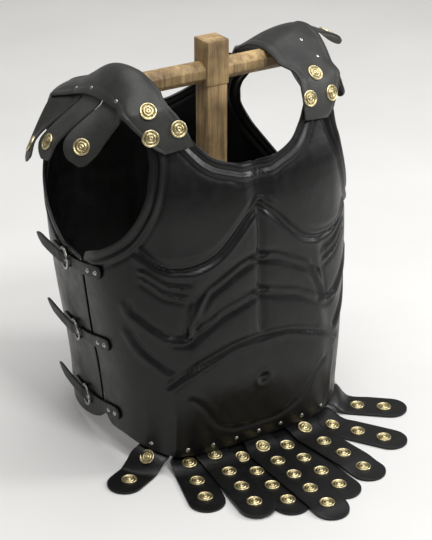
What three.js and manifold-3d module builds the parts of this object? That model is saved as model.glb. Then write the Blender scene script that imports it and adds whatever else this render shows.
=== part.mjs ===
// Muscle-formed leather body armour on a plain wooden stand.
// Millimetres, +Z up, origin on the floor at the axis of the stand's post.
// X runs to the wearer's left, the front of the armour faces -Y.
import * as THREE from "three";
import Module from "manifold-3d";
import { mergeVertices } from "three/addons/utils/BufferGeometryUtils.js";

// Driving dimensions
const CHEST_WIDTH = 368;        // widest width of the body, side to side
const FRONT_DEPTH = 130;        // seam plane to the deepest point of the belly
const BACK_DEPTH = 192;         // seam plane to the deepest point of the back
const BODY_HEIGHT = 500;        // height that the section table is a share of
const SEAM_Y = 8.7;             // side seams lie just behind the post
const PLATE_THICKNESS = 2.6;    // leather of the two body plates
const SIDE_GAP = 6;             // open gap between the plates down each side
const PEC_RELIEF = 6;           // how far the chest muscles stand out
const PANEL_RELIEF = 3.5;       // how far the stomach panels stand out
const PEC_LEDGE = 20;           // height over which the chest muscle rises from its lower edge
const CLEAR = 0.6;              // air between curved pieces that lie together
const SEAT = 0.3;               // more air, where both pieces are faceted

const STRAP_THICKNESS = 2.5;    // shoulder straps
const STRAP_CROWN = 20;         // how far a strap arches over the crossbar
const STRAP_SLIP = 14;          // both straps' neck edges lie this far to the wearer's right
const STRAP_FLARE = 38;         // how far the left strap's outer edge is turned up
const TAB_WIDTH = 44;           // hanging shoulder tabs
const TAB_THICKNESS = 2.4;
const TAB_REACH = 100;          // that the tabs' offsets are shares of
const TAB_TUCK = 16;            // how far a tab reaches in under the strap
const TAB_SEAT = 0.5;           // more air between a tab and the strap above it
const STUD_RADIUS = 9.6;        // brass rosette studs
const STUD_HEIGHT = 2.2;

const STRIP_WIDTH = 46;         // skirt strips
const STRIP_THICKNESS = 2.4;
const STRIP_PITCH = 36;         // from stud to stud along a strip
const STRIP_END = 31;           // last stud to the round end
const STRIP_ROOT = 24;          // how far a strip reaches up inside the rim
const STRIP_LANDING = 24;       // how far out from the rim it lies flat
const STRIP_SEAT = 0.4;         // more air between a strip and the plate
const RIM_TURN = 5.2;           // a strip's middle passes this far under the rim

const BILLET_WIDTH = 18;        // side straps
const BILLET_THICKNESS = 2.5;
const BILLET_FRONT = 43;        // rivets' end, in front of the seam
const BUCKLE_BACK = 42;         // middle of the buckle, behind the seam
const TIP_BACK = 98;            // pointed tip, behind the seam
const TIP_LIFT = 9;             // how far the tip stands away
const CHAPE_LENGTH = 30;        // short strap that holds a buckle
const CHAPE_THICKNESS = 1.6;
const BUCKLE_HEIGHT = 27;
const BUCKLE_WIDTH = 21;
const BUCKLE_WIRE = 3.2;

const POST_SIDE = 28.4;         // square post
const POST_ABOVE_BAR = 40.4;    // top of the post above the crossbar's axis
const HEAD_SIDE = 31;           // slightly thicker head of the post
const HEAD_LENGTH = 56;
const BAR_THICKNESS = 25;       // crossbar, eight-sided
const BAR_LENGTH = 236;
const BAR_DROP = 23.4;          // the crossbar's axis lies this far under the body's height
const BASE_SIDE = 190;          // plain board under the post
const BASE_THICKNESS = 14;
const FIT = 0.3;                // joinery clearance
const BAR_HEIGHT = BODY_HEIGHT - BAR_DROP;      // the straps hang on the bar
const POST_TOP = BAR_HEIGHT + POST_ABOVE_BAR;

// Materials
const finish = (name, color, roughness, metalness) =>
  new THREE.MeshStandardMaterial({ name, color, roughness, metalness });
const blackLeather = finish("black_leather", 0x17181a, 0.5, 0);
const strapLeather = finish("strap_leather", 0x1d1e20, 0.5, 0);
const nickel = finish("nickel", 0xb8b6b0, 0.3, 1);
const wood = finish("weathered_wood", 0x7a6248, 0.75, 0);

// Small helpers
const RAD = Math.PI / 180;
const lerp = (a, b, t) => a + (b - a) * t;
const clamp01 = (t) => Math.min(1, Math.max(0, t));
const smooth = (t) => clamp01(t) * clamp01(t) * (3 - 2 * clamp01(t));

// Smooth curve through the rows of a table; column 0 is the key.
function tableAt(table, key, column) {
  const n = table.length;
  if (key <= table[0][0]) return table[0][column];
  if (key >= table[n - 1][0]) return table[n - 1][column];
  let i = 0;
  while (key > table[i + 1][0]) i++;
  const slope = (k) => {
    const a = Math.max(0, k - 1), b = Math.min(n - 1, k + 1);
    return (table[b][column] - table[a][column]) / (table[b][0] - table[a][0]);
  };
  const h = table[i + 1][0] - table[i][0], t = (key - table[i][0]) / h;
  const t2 = t * t, t3 = t2 * t;
  return (2 * t3 - 3 * t2 + 1) * table[i][column] + (t3 - 2 * t2 + t) * h * slope(i)
    + (3 * t2 - 2 * t3) * table[i + 1][column] + (t3 - t2) * h * slope(i + 1);
}

// Body surface
// Shares: height, half width, front depth, back depth, then the roundness
// exponents of the front and back halves of the section.
const SECTIONS = [
  [0.00, 0.842, 0.915, 0.979, 4.00, 3.00],
  [0.04, 0.848, 0.931, 0.979, 3.87, 3.00],
  [0.12, 0.859, 0.969, 0.977, 3.60, 3.00],
  [0.22, 0.886, 1.000, 0.979, 3.30, 3.05],
  [0.33, 0.929, 0.969, 0.984, 3.05, 3.10],
  [0.42, 0.957, 0.942, 0.990, 2.90, 3.15],
  [0.50, 0.978, 0.923, 0.995, 2.75, 3.20],
  [0.60, 0.989, 0.908, 1.000, 2.60, 3.25],
  [0.69, 1.000, 0.877, 0.977, 2.80, 3.40],
  [0.77, 1.000, 0.808, 0.935, 3.00, 3.40],
  [0.84, 0.995, 0.731, 0.823, 3.00, 3.30],
  [0.90, 0.978, 0.654, 0.695, 3.00, 3.20],
  [0.96, 0.951, 0.538, 0.547, 3.00, 3.20],
  [1.00, 0.935, 0.462, 0.450, 3.00, 3.20],
];
const Z = (share) => share * BODY_HEIGHT;

// Point on the body at an angle from the front centre (degrees) and a height,
// moved out by off.
function torso(angle, z, off = 0) {
  const k = z / BODY_HEIGHT, s = Math.sin(angle * RAD), c = Math.cos(angle * RAD);
  const a = tableAt(SECTIONS, k, 1) * CHEST_WIDTH / 2 + off;
  const b = (c >= 0 ? tableAt(SECTIONS, k, 2) * FRONT_DEPTH : tableAt(SECTIONS, k, 3) * BACK_DEPTH) + off;
  const n = c >= 0 ? tableAt(SECTIONS, k, 4) : tableAt(SECTIONS, k, 5);
  const r = Math.pow(Math.pow(Math.abs(s / a), n) + Math.pow(Math.abs(c / b), n), -1 / n);
  return new THREE.Vector3(r * s, SEAM_Y - r * c, z);
}
const halfWidthAt = (z) => tableAt(SECTIONS, z / BODY_HEIGHT, 1) * CHEST_WIDTH / 2;
const seamAngle = (z) => Math.asin(SIDE_GAP / 2 / halfWidthAt(z)) / RAD;
const angleOf = (x, y) => Math.atan2(x, SEAM_Y - y) / RAD;

// Formed muscles of the front: lower edge of the chest muscle and the stomach
// lines, each as angle and height share.
const PEC_LINE = [
  [0, 0.684], [10, 0.658], [20, 0.610], [30, 0.570], [43, 0.554], [54, 0.566], [64, 0.620], [90, 0.70],
];
const STOMACH_LINES = [
  [[0, 0.540], [15, 0.532], [25, 0.510], [31, 0.490], [38, 0.464]],
  [[0, 0.452], [14, 0.440], [24, 0.424], [30, 0.412], [40, 0.362]],
  [[0, 0.322], [14, 0.316], [26, 0.305], [38, 0.284], [48, 0.245]],
  [[0, 0.080], [16, 0.082], [26, 0.110], [33, 0.165], [41, 0.208]],
];
const lineAt = (line, a) => tableAt(line, Math.min(a, line[line.length - 1][0]), 1) * BODY_HEIGHT;

function frontRelief(angle, z) {
  const a = Math.abs(angle), pec = lineAt(PEC_LINE, a);
  const middle = smooth((a - 1.5) / 9);
  const top = 1 - smooth((z - Z(0.73)) / Z(0.12));
  const ledge = smooth((z - pec) / PEC_LEDGE + 0.2);
  let out = PEC_RELIEF * ledge * top * lerp(0.25, 1, middle) * (1 - smooth((a - 46) / 16));
  const bounds = [pec, ...STOMACH_LINES.map((line) => lineAt(line, a))];
  const side = 1 - smooth((a - 36) / 8);
  for (let i = 0; i + 1 < bounds.length; i++) {
    const t = (bounds[i] - z) / (bounds[i] - bounds[i + 1]);
    if (t <= 0 || t >= 1) continue;
    out += PANEL_RELIEF * Math.pow(Math.sin(Math.PI * t), 0.7) * side * (i < 3 ? lerp(0.35, 1, middle) : 0.6);
  }
  return out;
}

// Closed sheet of leather from a grid of middle-surface points
// rows[i][j] are points; the sheet reaches lift above and (thickness - lift)
// below them, along the grid's own normals.
function sheet(rows, thickness, lift = thickness / 2) {
  const m = rows.length, n = rows[0].length, top = [], bottom = [];
  for (let i = 0; i < m; i++) {
    for (let j = 0; j < n; j++) {
      const du = rows[Math.min(m - 1, i + 1)][j].clone().sub(rows[Math.max(0, i - 1)][j]);
      const dv = rows[i][Math.min(n - 1, j + 1)].clone().sub(rows[i][Math.max(0, j - 1)]);
      const normal = du.cross(dv).normalize();
      top.push(rows[i][j].clone().addScaledVector(normal, lift));
      bottom.push(rows[i][j].clone().addScaledVector(normal, lift - thickness));
    }
  }
  const at = (i, j) => i * n + j, off = m * n, index = [];
  const quad = (a, b, c, d) => index.push(a, b, c, a, c, d);
  for (let i = 0; i + 1 < m; i++) {
    for (let j = 0; j + 1 < n; j++) {
      quad(at(i, j), at(i + 1, j), at(i + 1, j + 1), at(i, j + 1));
      quad(off + at(i, j), off + at(i, j + 1), off + at(i + 1, j + 1), off + at(i + 1, j));
    }
    quad(at(i, 0), off + at(i, 0), off + at(i + 1, 0), at(i + 1, 0));
    quad(at(i + 1, n - 1), off + at(i + 1, n - 1), off + at(i, n - 1), at(i, n - 1));
  }
  for (let j = 0; j + 1 < n; j++) {
    quad(at(0, j + 1), off + at(0, j + 1), off + at(0, j), at(0, j));
    quad(at(m - 1, j), off + at(m - 1, j), off + at(m - 1, j + 1), at(m - 1, j + 1));
  }
  const geometry = new THREE.BufferGeometry();
  const flat = [...top, ...bottom].flatMap((p) => [p.x, p.y, p.z]);
  geometry.setAttribute("position", new THREE.Float32BufferAttribute(flat, 3));
  geometry.setIndex(index);
  return outward(geometry);
}

// Turns every face of a closed mesh to point out.
function outward(geometry) {
  const p = geometry.attributes.position, ix = geometry.index.array;
  let volume = 0;
  const a = new THREE.Vector3(), b = new THREE.Vector3(), c = new THREE.Vector3();
  for (let i = 0; i < ix.length; i += 3) {
    a.fromBufferAttribute(p, ix[i]);
    b.fromBufferAttribute(p, ix[i + 1]);
    c.fromBufferAttribute(p, ix[i + 2]);
    volume += a.dot(b.cross(c));
  }
  if (volume < 0) {
    const turned = Array.from(ix);
    for (let i = 0; i < turned.length; i += 3) {
      [turned[i + 1], turned[i + 2]] = [turned[i + 2], turned[i + 1]];
    }
    geometry.setIndex(turned);
  }
  return geometry;
}

// Joins and cuts
const wasm = await Module();
wasm.setup();
function solid(geometry) {
  let g = geometry.clone();
  g.deleteAttribute("normal");
  g.deleteAttribute("uv");
  g = mergeVertices(g, 1e-4);
  return new wasm.Manifold(new wasm.Mesh({
    numProp: 3,
    vertProperties: new Float32Array(g.attributes.position.array),
    triVerts: new Uint32Array(g.index.array),
  }));
}
function toGeometry(manifold) {
  const mesh = manifold.getMesh();
  const geometry = new THREE.BufferGeometry();
  geometry.setAttribute("position", new THREE.BufferAttribute(new Float32Array(mesh.vertProperties), 3));
  geometry.setIndex(new THREE.BufferAttribute(new Uint32Array(mesh.triVerts), 1));
  return geometry;
}

const model = new THREE.Group();
function piece(name, geometry, material) {
  const mesh = new THREE.Mesh(geometry, material);
  mesh.name = name;
  model.add(mesh);
  return mesh;
}

// Front and back plates
// Rows of a half plate, bottom to top: inner angle and height share, outer
// angle and height share, number of cells up to the next row. The inner end
// runs up the centre line and out along the neck, the outer end runs up the
// side seam and then round the armhole. Angles of 90 stand for the seam.
const FRONT_ROWS = [
  [0, 0.030, 90, 0.090, 3],
  [0, 0.110, 90, 0.170, 4],
  [0, 0.300, 90, 0.345, 4],
  [0, 0.490, 90, 0.520, 1],
  [0, 0.530, 87, 0.556, 1],
  [0, 0.570, 77, 0.586, 2],
  [0, 0.630, 66, 0.636, 2],
  [0, 0.690, 59, 0.706, 2],
  [0, 0.735, 57, 0.758, 1],
  [0, 0.780, 57, 0.800, 1],
  [14, 0.788, 58, 0.832, 1],
  [28, 0.808, 59.5, 0.862, 1],
  [38, 0.844, 61.5, 0.880, 1],
  [46.5, 0.892, 63.5, 0.900, 0],
];
// The lower rim's height share by angle, and how much of the plate follows it.
const FRONT_RIM = [
  [0, 0.030], [30, 0.031], [47, 0.037], [58, 0.056], [71, 0.068], [82, 0.064], [86, 0.070], [90, 0.092],
];
const BACK_ROWS = [
  [180, 0.008, 90, 0.080, 3],
  [180, 0.120, 90, 0.160, 4],
  [180, 0.320, 90, 0.345, 3],
  [180, 0.480, 90, 0.520, 1],
  [180, 0.510, 96, 0.536, 1],
  [180, 0.540, 104, 0.538, 1],
  [180, 0.580, 113, 0.564, 1],
  [180, 0.620, 124, 0.612, 1],
  [180, 0.665, 132, 0.666, 1],
  [180, 0.705, 136, 0.722, 1],
  [180, 0.740, 136, 0.750, 1],
  [166, 0.748, 135, 0.776, 1],
  [156, 0.772, 133, 0.798, 1],
  [149, 0.806, 131, 0.818, 1],
  [143.5, 0.846, 129.8, 0.836, 1],
  [139.5, 0.880, 129, 0.852, 0],
];
const BACK_RIM = [[90, 0.080], [95, 0.056], [105, 0.032], [120, 0.014], [135, 0.009], [180, 0.008]];
const FRONT_CELLS = 14;         // across half of the front
const BACK_CELLS = 9;           // across half of the back

function platePoints(rowsTable, rim, cells, mirrored, isFront) {
  const grid = [];
  const rimStart = rowsTable[0];
  const seam = (z) => (isFront ? 90 - seamAngle(z) : 90 + seamAngle(z));
  const edge = (angle, z) => (angle === 90 ? seam(z) : angle);
  for (let r = 0; r + 1 <= rowsTable.length; r++) {
    const here = rowsTable[r], next = rowsTable[r + 1] ?? here, steps = next === here ? 1 : here[4];
    for (let k = 0; k < steps; k++) {
      const t = k / steps;
      const row = [];
      const v = lerp(here[1], next[1], t);
      for (let j = 0; j <= cells; j++) {
        const u = j / cells;
        const zIn = Z(lerp(here[1], next[1], t)), zOut = Z(lerp(here[3], next[3], t));
        const aIn = lerp(here[0], next[0], t);
        const aOut = lerp(edge(here[2], Z(here[3])), edge(next[2], Z(next[3])), t);
        let z = lerp(zIn, zOut, u);
        const angle = lerp(aIn, aOut, u);
        // the lowest rows follow the rim's own curve
        const straight = lerp(rimStart[1], rimStart[3], u);
        const follow = 1 - clamp01((v - rimStart[1]) / (rowsTable[1][1] - rimStart[1]));
        z += (Z(tableAt(rim, angle, 1)) - Z(straight)) * follow;
        const p = torso(angle, z, isFront ? frontRelief(angle, z) : 0);
        if (mirrored) p.x = -p.x;
        row.push(p);
      }
      grid.push(row);
    }
  }
  return grid;
}

// Both halves in one grid below the neck, joined on the centre line; above it
// the two sides go on by themselves, so the plate is joined from three sheets.
function plate(rowsTable, rim, cells, isFront) {
  const left = platePoints(rowsTable, rim, cells, false, isFront);
  const right = platePoints(rowsTable, rim, cells, true, isFront);
  const centre = rowsTable[0][0];
  let split = 0, count = 0;
  for (const row of rowsTable) {
    if (row[0] === centre) split = count;
    count += row[4];
  }
  const key = new Map(), points = [];
  const id = (side, i, j) => {
    const shared = i <= split && j === 0 ? `c${i}` : `${side}${i},${j}`;
    if (!key.has(shared)) {
      key.set(shared, points.length);
      points.push({ side, i, j });
    }
    return key.get(shared);
  };
  const grids = { L: left, R: right }, m = left.length, faces = [];
  for (let i = 0; i + 1 < m; i++) {
    for (let j = 0; j < cells; j++) {
      const a = id("L", i, j), b = id("L", i, j + 1), c = id("L", i + 1, j + 1), d = id("L", i + 1, j);
      faces.push([a, b, c], [a, c, d]);
      const e = id("R", i, j), f = id("R", i, j + 1), g = id("R", i + 1, j + 1), h = id("R", i + 1, j);
      faces.push([e, g, f], [e, h, g]);
    }
  }
  const outer = points.map(({ side, i, j }) => grids[side][i][j]);
  const normals = outer.map(() => new THREE.Vector3());
  for (const [a, b, c] of faces) {
    const n = outer[b].clone().sub(outer[a]).cross(outer[c].clone().sub(outer[a]));
    for (const k of [a, b, c]) normals[k].add(n);
  }
  const sign = isFront ? 1 : -1;
  const inward = -PLATE_THICKNESS * sign;
  const inner = outer.map((p, k) => p.clone().addScaledVector(normals[k].normalize(), inward));
  const index = [], off = outer.length, edges = new Map();
  for (const [a, b, c] of faces) {
    index.push(a, b, c, off + a, off + c, off + b);
    for (const [p, q] of [[a, b], [b, c], [c, a]]) {
      const back = `${q},${p}`;
      if (edges.has(back)) edges.delete(back);
      else edges.set(`${p},${q}`, [p, q]);
    }
  }
  for (const [p, q] of edges.values()) index.push(q, p, off + p, q, off + p, off + q);
  const geometry = new THREE.BufferGeometry();
  const positions = [...outer, ...inner].flatMap((p) => [p.x, p.y, p.z]);
  geometry.setAttribute("position", new THREE.Float32BufferAttribute(positions, 3));
  geometry.setIndex(index);
  return outward(geometry);
}
piece("front_plate", plate(FRONT_ROWS, FRONT_RIM, FRONT_CELLS, true), blackLeather);
piece("back_plate", plate(BACK_ROWS, BACK_RIM, BACK_CELLS, false), blackLeather);

// Shoulder straps
// Rows from the front end over the crossbar to the back: share of the length,
// inner edge x, y, z, outer edge x, y, z, then the shares of the crown, the
// slip and the flare. x is a share of half the chest width, y of the back
// depth, z of the crossbar's top plus strap, so that a strap lies on the bar.
const BAR_TOP = BAR_HEIGHT + BAR_THICKNESS / 2;
const STRAP_TOP = BAR_TOP + STRAP_THICKNESS + CLEAR;
const STRAP_ROWS = [
  [0.00, 0.429, -0.449, 0.861, 0.625, -0.430, 0.852, 0.0, 0.0, 0.0],
  [0.07, 0.435, -0.402, 0.900, 0.700, -0.395, 0.872, 0.0, 0.15, 0.0],
  [0.15, 0.446, -0.330, 0.944, 0.768, -0.322, 0.910, 0.15, 0.5, 0.0],
  [0.24, 0.457, -0.215, 0.977, 0.804, -0.235, 0.938, 0.55, 0.8, 0.15],
  [0.33, 0.467, -0.075, 0.998, 0.815, -0.090, 0.949, 0.95, 1.0, 0.75],
  [0.41, 0.473, 0.040, 1.000, 0.818, 0.040, 0.950, 1.0, 1.0, 1.0],
  [0.50, 0.478, 0.175, 0.989, 0.818, 0.185, 0.943, 0.95, 0.9, 1.0],
  [0.62, 0.489, 0.333, 0.963, 0.817, 0.345, 0.925, 0.7, 0.6, 0.45],
  [0.75, 0.522, 0.490, 0.937, 0.812, 0.495, 0.901, 0.45, 0.2, 0.05],
  [0.88, 0.573, 0.620, 0.910, 0.800, 0.605, 0.872, 0.15, 0.0, 0.0],
  [1.00, 0.603, 0.700, 0.876, 0.765, 0.680, 0.838, 0.0, 0.0, 0.0],
];
const STRAP_CELLS = 22;         // along a strap
const STRAP_ACROSS = 5;

// Middle of a strap at a share of its length and of its width, drawn on the
// left. flank is 1 for the left strap and -1 for the right one.
function strapPoint(flank, s, t) {
  const col = (c) => tableAt(STRAP_ROWS, s, c);
  const flare = flank > 0 ? col(9) : 0;
  const innerX = col(1) * CHEST_WIDTH / 2 - flank * STRAP_SLIP * col(8);
  const outerZ = col(6) * STRAP_TOP + flare * STRAP_FLARE;
  const inner = new THREE.Vector3(innerX, col(2) * BACK_DEPTH, col(3) * STRAP_TOP);
  const outer = new THREE.Vector3(col(4) * CHEST_WIDTH / 2, col(5) * BACK_DEPTH, outerZ);
  const p = inner.lerp(outer, t);
  p.z += STRAP_CROWN * col(7) * (1 - 0.6 * flare) * 4 * t * (1 - t) - STRAP_THICKNESS / 2;
  return p;
}
// Moves a point out until it clears the body plate below it. The hold fades
// out above the plate's top.
function clearOfBody(p, off, top) {
  const angle = angleOf(p.x, p.y), front = Math.abs(angle) <= 90;
  const relief = front ? frontRelief(angle, p.z) : 0;
  const q = torso(angle, p.z, off + relief);
  const rq = Math.hypot(q.x, q.y - SEAM_Y), rp = Math.hypot(p.x, p.y - SEAM_Y);
  const hold = 1 - smooth((p.z - top) / Z(0.044));
  if (rp >= rq || hold <= 0) return p;
  const k = lerp(1, rq / rp, hold);
  return new THREE.Vector3(p.x * k, SEAM_Y + (p.y - SEAM_Y) * k, p.z);
}
function strapRows(flank) {
  const rows = [];
  for (let i = 0; i <= STRAP_CELLS; i++) {
    const s = i / STRAP_CELLS, row = [];
    for (let j = 0; j <= STRAP_ACROSS; j++) {
      let p = strapPoint(flank, s, j / STRAP_ACROSS);
      const top = s < 0.5 ? Z(0.925) : Z(0.885);
      if (s < 0.25 || s > 0.7) p = clearOfBody(p, CLEAR + STRAP_THICKNESS / 2 + SEAT, top);
      p.x *= flank;
      row.push(p);
    }
    rows.push(row);
  }
  return rows;
}
for (const [side, flank] of [["left", 1], ["right", -1]]) {
  piece(`shoulder_strap_${side}`, sheet(strapRows(flank), STRAP_THICKNESS), strapLeather);
}

// Brass studs
// A low dome on a thin rim, turned about its own axis, foot at the origin.
function studGeometry(sink) {
  const r = STUD_RADIUS, h = STUD_HEIGHT;
  const profile = [[0, -sink], [r * 0.5, -sink], [r, -sink * 0.2], [r, h * 0.35], [r * 0.72, h], [0, h]];
  return new THREE.LatheGeometry(profile.map(([x, y]) => new THREE.Vector2(x, y)), 8).rotateX(Math.PI / 2);
}
function placed(geometry, at, normal) {
  const q = new THREE.Quaternion().setFromUnitVectors(new THREE.Vector3(0, 0, 1), normal);
  return geometry.clone().applyQuaternion(q).translate(at.x, at.y, at.z);
}

// Leather strips with round ends
// point(s, w) gives the middle of the leather at a distance s and a sideways
// offset w. The end is rounded over half the width.
const ROUND = [0, 0.42, 0.72, 0.91, 0.995];
function roundStrip(point, length, width, thickness, cells, lateral) {
  const distances = [];
  const straight = length - width / 2;
  for (let i = 0; i <= cells; i++) distances.push([straight * i / cells, 1]);
  for (const k of ROUND.slice(1)) distances.push([straight + width / 2 * k, Math.sqrt(1 - k * k)]);
  const rows = distances.map(([s, wide]) => {
    const row = [];
    for (let j = 0; j <= lateral; j++) row.push(point(s, (j / lateral - 0.5) * width * wide));
    return row;
  });
  return sheet(rows, thickness);
}
// Smooth path through a list of points, by distance.
function pathThrough(points) {
  const curve = new THREE.CatmullRomCurve3(points, false, "centripetal");
  curve.arcLengthDivisions = 400;
  return curve;
}

// Shoulder tabs
// For each tab: side, share along the strap where it leaves the outer edge,
// the offsets from there to the stud and to the tip (out, back, up), and how
// far its free end is turned about its own length, in degrees.
const TABS = [
  ["right", "front", 0.305, [0.42, 0.03, -0.47], [0.47, -0.02, -0.65], 35],
  ["right", "middle", 0.485, [0.49, 0.16, -0.54], [0.56, 0.22, -0.77], 0],
  ["right", "rear", 0.660, [0.51, 0.15, -0.58], [0.58, 0.18, -0.81], -35],
  ["left", "front", 0.270, [0.16, 0.04, -0.32], [0.21, 0.06, -0.55], 0],
  ["left", "middle", 0.455, [0.38, 0.00, -0.20], [0.52, -0.02, -0.35], 0],
  ["left", "rear", 0.670, [0.50, 0.14, -0.56], [0.57, 0.17, -0.79], 0],
];
// Outward direction of a strap's surface.
function strapNormal(flank, s, t) {
  const e = 0.01, ds = strapPoint(flank, s + e, t).sub(strapPoint(flank, s - e, t));
  const dt = strapPoint(flank, s, Math.min(1, t + e)).sub(strapPoint(flank, s, Math.max(0, t - e)));
  const n = ds.cross(dt).normalize();
  return n.z < 0 ? n.negate() : n;
}
// Length of a strap along its outer edge.
function strapRun(flank) {
  let sum = 0;
  for (let i = 0; i < 40; i++) {
    sum += strapPoint(flank, i / 40, 1).distanceTo(strapPoint(flank, (i + 1) / 40, 1));
  }
  return sum;
}
for (const [side, place, share, toStud, toTip, turn] of TABS) {
  const flank = side === "left" ? 1 : -1, reach = strapRun(flank);
  const drop = STRAP_THICKNESS / 2 + CLEAR + TAB_THICKNESS / 2 + TAB_SEAT;
  const edge = strapPoint(flank, share, 1);
  const tuck = TAB_TUCK / strapPoint(flank, share, 0).distanceTo(edge);
  const across = strapPoint(flank, share + 0.03, 1).sub(strapPoint(flank, share - 0.03, 1)).normalize();
  const turned = across.clone().applyAxisAngle(new THREE.Vector3(...toTip).normalize(), turn * RAD);
  const under = (s, t) => strapPoint(flank, s, t).addScaledVector(strapNormal(flank, s, t), -drop);
  const free = (to, w) =>
    edge.clone().addScaledVector(new THREE.Vector3(...to), TAB_REACH).addScaledVector(turned, w);
  const column = (w) => {
    const s = share + w / reach, last = under(s, 1), before = under(s, 0.95);
    const past = last.clone().add(last.clone().sub(before).setLength(TAB_TUCK * 0.3));
    const hidden = [under(s, 1 - tuck), under(s, 1 - tuck / 2), last, past];
    return pathThrough([...hidden, free(toStud, w), free(toTip, w)]);
  };
  const middle = column(0), length = middle.getLength();
  const body = roundStrip((s, w) => {
    const p = column(w).getPointAt(clamp01(s / length));
    p.x *= flank;
    return p;
  }, length, TAB_WIDTH, TAB_THICKNESS, 9, 2);
  const studShare = (length - TAB_WIDTH * 0.55) / length;
  const p = middle.getPointAt(studShare);
  const normal = middle.getTangentAt(studShare).cross(turned).normalize();
  if (normal.x + normal.z < 0) normal.negate();
  p.addScaledVector(normal, TAB_THICKNESS / 2);
  p.x *= flank;
  normal.x *= flank;
  const stud = solid(placed(studGeometry(TAB_THICKNESS / 2), p, normal));
  piece(`shoulder_tab_${side}_${place}`, toGeometry(solid(body).add(stud)), strapLeather);
}

// Skirt strips
// For each strip, from the wearer's right to left: angle of its rivet on the
// rim, layer (0 lies on top, 1 below), first stud x and y from the front
// centre of the rim as shares of half the chest width, direction on the floor
// in degrees, number of studs, and how many pitches it stays up on its
// neighbours.
const FRONT_Y = SEAM_Y - FRONT_DEPTH * SECTIONS[0][2];   // front centre of the lower rim
const STRIPS = [
  [-57.0, 0, -0.799, 0.179, -153.9, 2, 0],
  [-41.5, 1, -0.543, 0.022, -105.8, 3, 0],
  [-29.5, 0, -0.342, -0.011, -97.3, 4, 10],
  [-15.5, 1, -0.185, -0.087, -92.0, 4, 0],
  [0.0, 0, -0.011, -0.076, -90.6, 5, 4.06],
  [15.5, 1, 0.168, -0.120, -88.0, 4, 0],
  [29.5, 0, 0.375, -0.043, -82.2, 4, 2.5],
  [41.5, 1, 0.592, -0.071, -56.7, 3, 0],
  [57.0, 0, 0.913, 0.060, -40.4, 2, 0],
];
const UPPER = STRIP_THICKNESS + CLEAR;          // floor level of the top layer
const rimHeight = (angle) => Z(tableAt(FRONT_RIM, Math.abs(angle), 1));
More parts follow.
